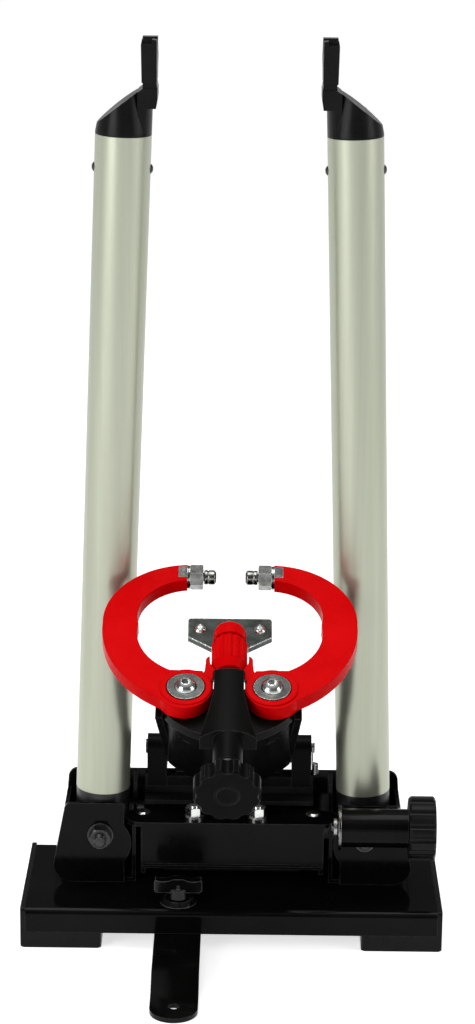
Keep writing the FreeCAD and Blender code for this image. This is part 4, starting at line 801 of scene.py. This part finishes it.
@dataclass
class ArmDrive:
    """The knob, screw, barrel, nut and link that open and close the arms."""

    screw_radius: float = 4.0
    pitch: float = 1.5
    collar_starts: tuple[float, float] = (12.8, 40.8)
    collar_radius: float = 6.0
    collar_width: float = 2.5
    collar_edge: float = 0.4
    knob_edge: float = 0.6
    barrel_edge: float = 0.9
    barrel_weld: float = 0.25
    ring_edge: float = 0.3

    def build(self) -> None:
        """Make the drive's pieces."""
        Bench.round_off("arm_knob", Palette.BLACK_PLASTIC, "arm_screw", self.knob_edge)
        Bench.round_off("screw_barrel", Palette.GLOSS_BLACK, "stand", self.barrel_edge, Bench.FINE,
                        self.barrel_weld)
        Bench.round_off("barrel_ring", Palette.DULL_ZINC, "stand", self.ring_edge)
        Bench.paint("barrel_screws", Palette.DARK_STEEL)
        Bench.paint("sync_link", Palette.STUD_STEEL)
        Bench.paint("drive_pin", Palette.PLAIN_STEEL)
        Bench.paint("drive_nut", Palette.ROOT_ALLOY)
        Bench.paint("screw_clip", Palette.PLAIN_STEEL)
        self._screw()

    def _screw(self) -> None:
        """Make the long screw with its thread and its two bearing collars."""
        low, high = (Vector(corner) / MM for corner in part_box("adjusting_screw"))
        length = high.x - low.x
        middle = (low + high) / 2
        mesh = bmesh.new()
        Bench.thread(mesh, self.screw_radius, self.pitch, 0.0, length)
        wide = self.collar_radius
        small = wide - self.collar_edge
        for start in self.collar_starts:
            end = start + self.collar_width
            collar = bmesh.new()
            Bench.lathe(collar, [(0.0, start), (small, start), (wide, start + self.collar_edge),
                                 (wide, end - self.collar_edge), (small, end), (0.0, end)])
            Bench.join(mesh, Bench.tidy(collar), Matrix.Identity(4))
        mesh.transform(Matrix.Translation(Vector((low.x, middle.y, middle.z)) * MM)
                       @ Matrix.Rotation(math.pi / 2, 4, "Y"))
        Bench.settle(mesh, "adjusting_screw_threaded", Palette.STUD_STEEL, "arm_screw",
                     "adjusting_screw")


@dataclass
class CalliperHinge:
    """The cast cradle behind the shelf, its long pin and the spring."""

    cast_edge: float = 0.9
    bracket_edge: float = 0.5
    pin_edge: float = 0.4
    screw_edge: float = 0.3

    def build(self) -> None:
        """Make the hinge's pieces."""
        Bench.round_off("hinge_cradle", Palette.CAST_BLACK, "stand", self.cast_edge, Bench.FINE)
        Bench.round_off("hinge_bracket", Palette.SATIN_BLACK, "stand", self.bracket_edge)
        Bench.round_off("hinge_pin", Palette.PIN_STEEL, "stand", self.pin_edge)
        Bench.round_off("cradle_screws", Palette.DARK_STEEL, "stand", self.screw_edge)
        Bench.paint("hinge_spring", Palette.BRIGHT_ZINC)


@dataclass
class Feeler:
    """A rim feeler: a threaded screw with a wide turned nose, and its lock nut."""

    side: Side
    nose_radius: float = 4.7
    nose_length: float = 7.8
    # How far inside the nose's radius the round front corner lies, and how far from the front.
    front: tuple[tuple[float, float], ...] = ((1.6, 0.0), (1.2, 0.2), (0.2, 1.1), (0.0, 1.5))
    groove_start: float = 4.6
    groove_end: float = 5.7
    groove_slope: float = 0.3
    groove_depth: float = 0.35
    back_edge: float = 0.5
    shank_radius: float = 3.0
    pitch: float = 1.0
    sink: float = 0.3
    nut_edge: float = 0.35

    def build(self) -> None:
        """Make the screw and the nut."""
        word = self.side.word
        low, high = (Vector(corner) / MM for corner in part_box("tip_screw_" + word))
        length = high.x - low.x
        middle = (low + high) / 2
        mesh = bmesh.new()
        nose = bmesh.new()
        Bench.lathe(nose, self._nose())
        Bench.join(mesh, Bench.tidy(nose), Matrix.Identity(4))
        Bench.thread(mesh, self.shank_radius, self.pitch, self.nose_length - self.sink, length)
        start = low.x if self.side is Side.RIGHT else high.x
        mesh.transform(Matrix.Translation(Vector((start, middle.y, middle.z)) * MM)
                       @ Matrix.Rotation(self.side.value * math.pi / 2, 4, "Y"))
        Bench.settle(mesh, f"tip_screw_{word}_threaded", Palette.FEELER_ZINC, "jaw_" + word,
                     "tip_screw_" + word)
        Bench.round_off("tip_nut_" + word, Palette.FEELER_ZINC, "jaw_" + word, self.nut_edge)

    def _nose(self) -> list[tuple[float, float]]:
        """Draw the nose's outline, from its front face past the groove to its back.

        Returns:
            The outline as radii and heights.
        """
        wide = self.nose_radius
        slim = wide - self.groove_depth
        end = self.nose_length
        corner = [(wide - inset, height) for inset, height in self.front]
        groove = [(wide, self.groove_start), (slim, self.groove_start + self.groove_slope),
                  (slim, self.groove_end - self.groove_slope), (wide, self.groove_end)]
        back = [(wide, end - self.back_edge), (wide - self.back_edge, end), (0.0, end)]
        return [(0.0, 0.0), *corner, *groove, *back]


@dataclass
class Calliper:
    """The tilting casting with its jaws, wedge, gauge plate and dial."""

    cast_edge: float = 1.0
    cast_weld: float = 0.3
    cast_corner: float = 24.0
    jaw_edge: float = 1.3
    jaw_weld: float = 0.35
    bolt_edge: float = 0.35
    washer_edge: float = 0.3
    wedge_edge: float = 0.5
    flute_weld: float = 0.1
    gauge_edge: float = 0.4
    screw_edge: float = 0.3
    dial_edge: float = 0.8
    dial_weld: float = 0.3
    sleeve_edge: float = 0.4

    def build(self) -> None:
        """Make the calliper's pieces."""
        Bench.round_off("calliper_body", Palette.CAST_BLACK, "calliper", self.cast_edge, Bench.FINE,
                        self.cast_weld, self.cast_corner)
        Bench.round_off("jaw_bolts", Palette.BRIGHT_ZINC, "calliper", self.bolt_edge)
        Bench.round_off("jaw_washers", Palette.DULL_ZINC, "calliper", self.washer_edge)
        Bench.paint("jaw_nuts", Palette.DARK_STEEL)
        for side in Side:
            jaw = "jaw_" + side.word
            Bench.round_off(jaw, Palette.RED_COAT, jaw, self.jaw_edge, Bench.FINE, self.jaw_weld)
            Feeler(side).build()
        Bench.round_off("wedge_sleeve", Palette.RED_COAT, "wedge", self.wedge_edge,
                        weld=self.flute_weld)
        Bench.round_off("nose_dome", Palette.RED_COAT, "wedge", self.wedge_edge)
        Bench.round_off("gauge_plate", Palette.GAUGE_ZINC, "wedge", self.gauge_edge)
        Bench.round_off("gauge_screws", Palette.BRIGHT_ZINC, "wedge", self.screw_edge,
                        weld=self.flute_weld)
        Bench.round_off("front_dial", Palette.DIAL_PLASTIC, "dial", self.dial_edge, Bench.FINE,
                        self.dial_weld)
        Bench.round_off("dial_sleeve", Palette.DARK_STEEL, "dial", self.sleeve_edge)
        Bench.paint("spindle", Palette.PLAIN_STEEL)


@dataclass(frozen=True)
class Lamp:
    """A soft square lamp: where it hangs, what it points at, its side in metres and its watts."""

    name: str
    place: Triple
    target: Triple
    size: float
    power: float


@dataclass
class Studio:
    """Floor, lamps, world and camera round the stand, in metres and radians."""

    eye: Triple = (0.0072910, -1.6668022, 0.7940022)
    yaw: float = -0.0035435
    pitch: float = 0.2891303
    roll: float = 0.0103320
    focal_pixels: float = 2859.158
    image_height: float = 1024.0
    sensor_height: float = 24.0
    nearest: float = 0.05
    farthest: float = 60.0
    lamps: tuple[Lamp, ...] = (
        Lamp("key_lamp", (-1.55, -1.45, 0.95), (0.0, 0.0, 0.30), 1.1, 24.0),
        Lamp("fill_lamp", (1.9, -0.75, 0.90), (0.0, 0.0, 0.30), 0.9, 11.0),
        Lamp("top_lamp", (-0.2, 0.1, 2.3), (0.0, 0.0, 0.2), 1.4, 24.0),
    )
    # The room's brightness from the horizon, at 0, to straight overhead, at 1.
    sky: tuple[tuple[float, float], ...] = (
        (0.0, 0.80), (0.14, 0.70), (0.28, 0.10), (0.62, 0.16), (0.86, 0.62), (1.0, 0.70))
    floor_size: float = 9.0
    floor_drop: float = 0.0002
    floor_tone: float = 0.78
    # How much the floor adds where the camera or a reflection sees it.
    floor_glow: float = 0.68

    def build(self) -> None:
        """Make the floor, the world, the lamps and the camera."""
        self._floor()
        self._world()
        for lamp in self.lamps:
            self._hang(lamp)
        self._camera()
        bpy.context.scene.view_settings.view_transform = "Standard"

    @staticmethod
    def _seen(tree: bpy.types.NodeTree) -> bpy.types.NodeSocket:
        """Say which rays see the pale background: the camera's, mirrored and refracted ones.

        Args:
            tree: the floor's node tree.

        Returns:
            1 for those rays and 0 for the rest.
        """
        path = tree.nodes.new("ShaderNodeLightPath")
        total = path.outputs["Is Camera Ray"]
        for word in ("Is Glossy Ray", "Is Transmission Ray"):
            either = tree.nodes.new("ShaderNodeMath")
            either.operation = "MAXIMUM"
            tree.links.new(total, either.inputs[0])
            tree.links.new(path.outputs[word], either.inputs[1])
            total = either.outputs["Value"]
        return total

    def _floor(self) -> None:
        """Lay the pale floor under the stand."""
        mesh = bmesh.new()
        bmesh.ops.create_grid(mesh, x_segments=2, y_segments=2, size=self.floor_size)
        data = bpy.data.meshes.new("floor")
        mesh.to_mesh(data)
        mesh.free()
        floor = bpy.data.objects.new("floor", data)
        floor.location.z = -self.floor_drop
        bpy.context.scene.collection.objects.link(floor)
        material = bpy.data.materials.new("pale_floor")
        material.use_nodes = True
        tree = material.node_tree
        tree.nodes.clear()
        output = tree.nodes.new("ShaderNodeOutputMaterial")
        diffuse = tree.nodes.new("ShaderNodeBsdfDiffuse")
        diffuse.inputs["Color"].default_value = (self.floor_tone, self.floor_tone, self.floor_tone, 1.0)
        glow = tree.nodes.new("ShaderNodeEmission")
        add = tree.nodes.new("ShaderNodeAddShader")
        lift = tree.nodes.new("ShaderNodeMath")
        lift.operation = "MULTIPLY"
        lift.inputs[1].default_value = self.floor_glow
        tree.links.new(self._seen(tree), lift.inputs[0])
        tree.links.new(lift.outputs["Value"], glow.inputs["Strength"])
        tree.links.new(diffuse.outputs["BSDF"], add.inputs[0])
        tree.links.new(glow.outputs["Emission"], add.inputs[1])
        tree.links.new(add.outputs["Shader"], output.inputs["Surface"])
        data.materials.append(material)

    def _world(self) -> None:
        """Fill the room with soft light, bright at the horizon and overhead and dim between."""
        world = bpy.data.worlds.new("soft_room")
        bpy.context.scene.world = world
        world.use_nodes = True
        tree = world.node_tree
        tree.nodes.clear()
        output = tree.nodes.new("ShaderNodeOutputWorld")
        background = tree.nodes.new("ShaderNodeBackground")
        source = tree.nodes.new("ShaderNodeTexCoord")
        split = tree.nodes.new("ShaderNodeSeparateXYZ")
        ramp = tree.nodes.new("ShaderNodeValToRGB")
        NodeSheet.fill(ramp, [(height, (level, level, level)) for height, level in self.sky])
        tree.links.new(source.outputs["Generated"], split.inputs["Vector"])
        tree.links.new(split.outputs["Z"], ramp.inputs["Fac"])
        tree.links.new(ramp.outputs["Color"], background.inputs["Color"])
        tree.links.new(background.outputs["Background"], output.inputs["Surface"])

    @staticmethod
    def _hang(lamp: Lamp) -> None:
        """Hang one lamp, out of the camera's sight.

        Args:
            lamp: the lamp.
        """
        light = bpy.data.lights.new(lamp.name, "AREA")
        light.energy = lamp.power
        light.size = lamp.size
        place = Vector(lamp.place)
        aim = (Vector(lamp.target) - place).to_track_quat("-Z", "Y")
        hung = bpy.data.objects.new(lamp.name, light)
        hung.visible_camera = False
        hung.matrix_world = Matrix.LocRotScale(place, aim, None)
        bpy.context.scene.collection.objects.link(hung)

    def _camera(self) -> None:
        """Stand the camera in front of the stand, a little above it."""
        data = bpy.data.cameras.new("camera")
        data.sensor_fit = "VERTICAL"
        data.sensor_height = self.sensor_height
        data.lens = self.focal_pixels / self.image_height * self.sensor_height
        data.clip_start = self.nearest
        data.clip_end = self.farthest
        ahead = Vector((math.sin(self.yaw) * math.cos(self.pitch),
                        math.cos(self.yaw) * math.cos(self.pitch), -math.sin(self.pitch)))
        level = Vector((math.cos(self.yaw), -math.sin(self.yaw), 0.0))
        upright = level.cross(ahead)
        right = level * math.cos(self.roll) + upright * math.sin(self.roll)
        top = upright * math.cos(self.roll) - level * math.sin(self.roll)
        turn = Matrix((right, top, -ahead)).transposed().to_4x4()
        camera = bpy.data.objects.new("camera", data)
        camera.matrix_world = Matrix.Translation(Vector(self.eye)) @ turn
        bpy.context.scene.collection.objects.link(camera)
        bpy.context.scene.camera = camera


class TruingStand:
    """The whole stand, built part by part."""

    def build(self) -> None:
        """Build every sub-assembly in order."""
        SteelBase().build()
        WingClamp().build()
        Housing().build()
        for side in Side:
            HubArm(side).build()
        ArmDrive().build()
        CalliperHinge().build()
        Calliper().build()


def main() -> None:
    """Build the stand and its studio, and report each piece."""
    logging.basicConfig(level=logging.INFO, format="%(name)s %(message)s")
    TruingStand().build()
    Studio().build()


if __name__ == "__main__":
    main()
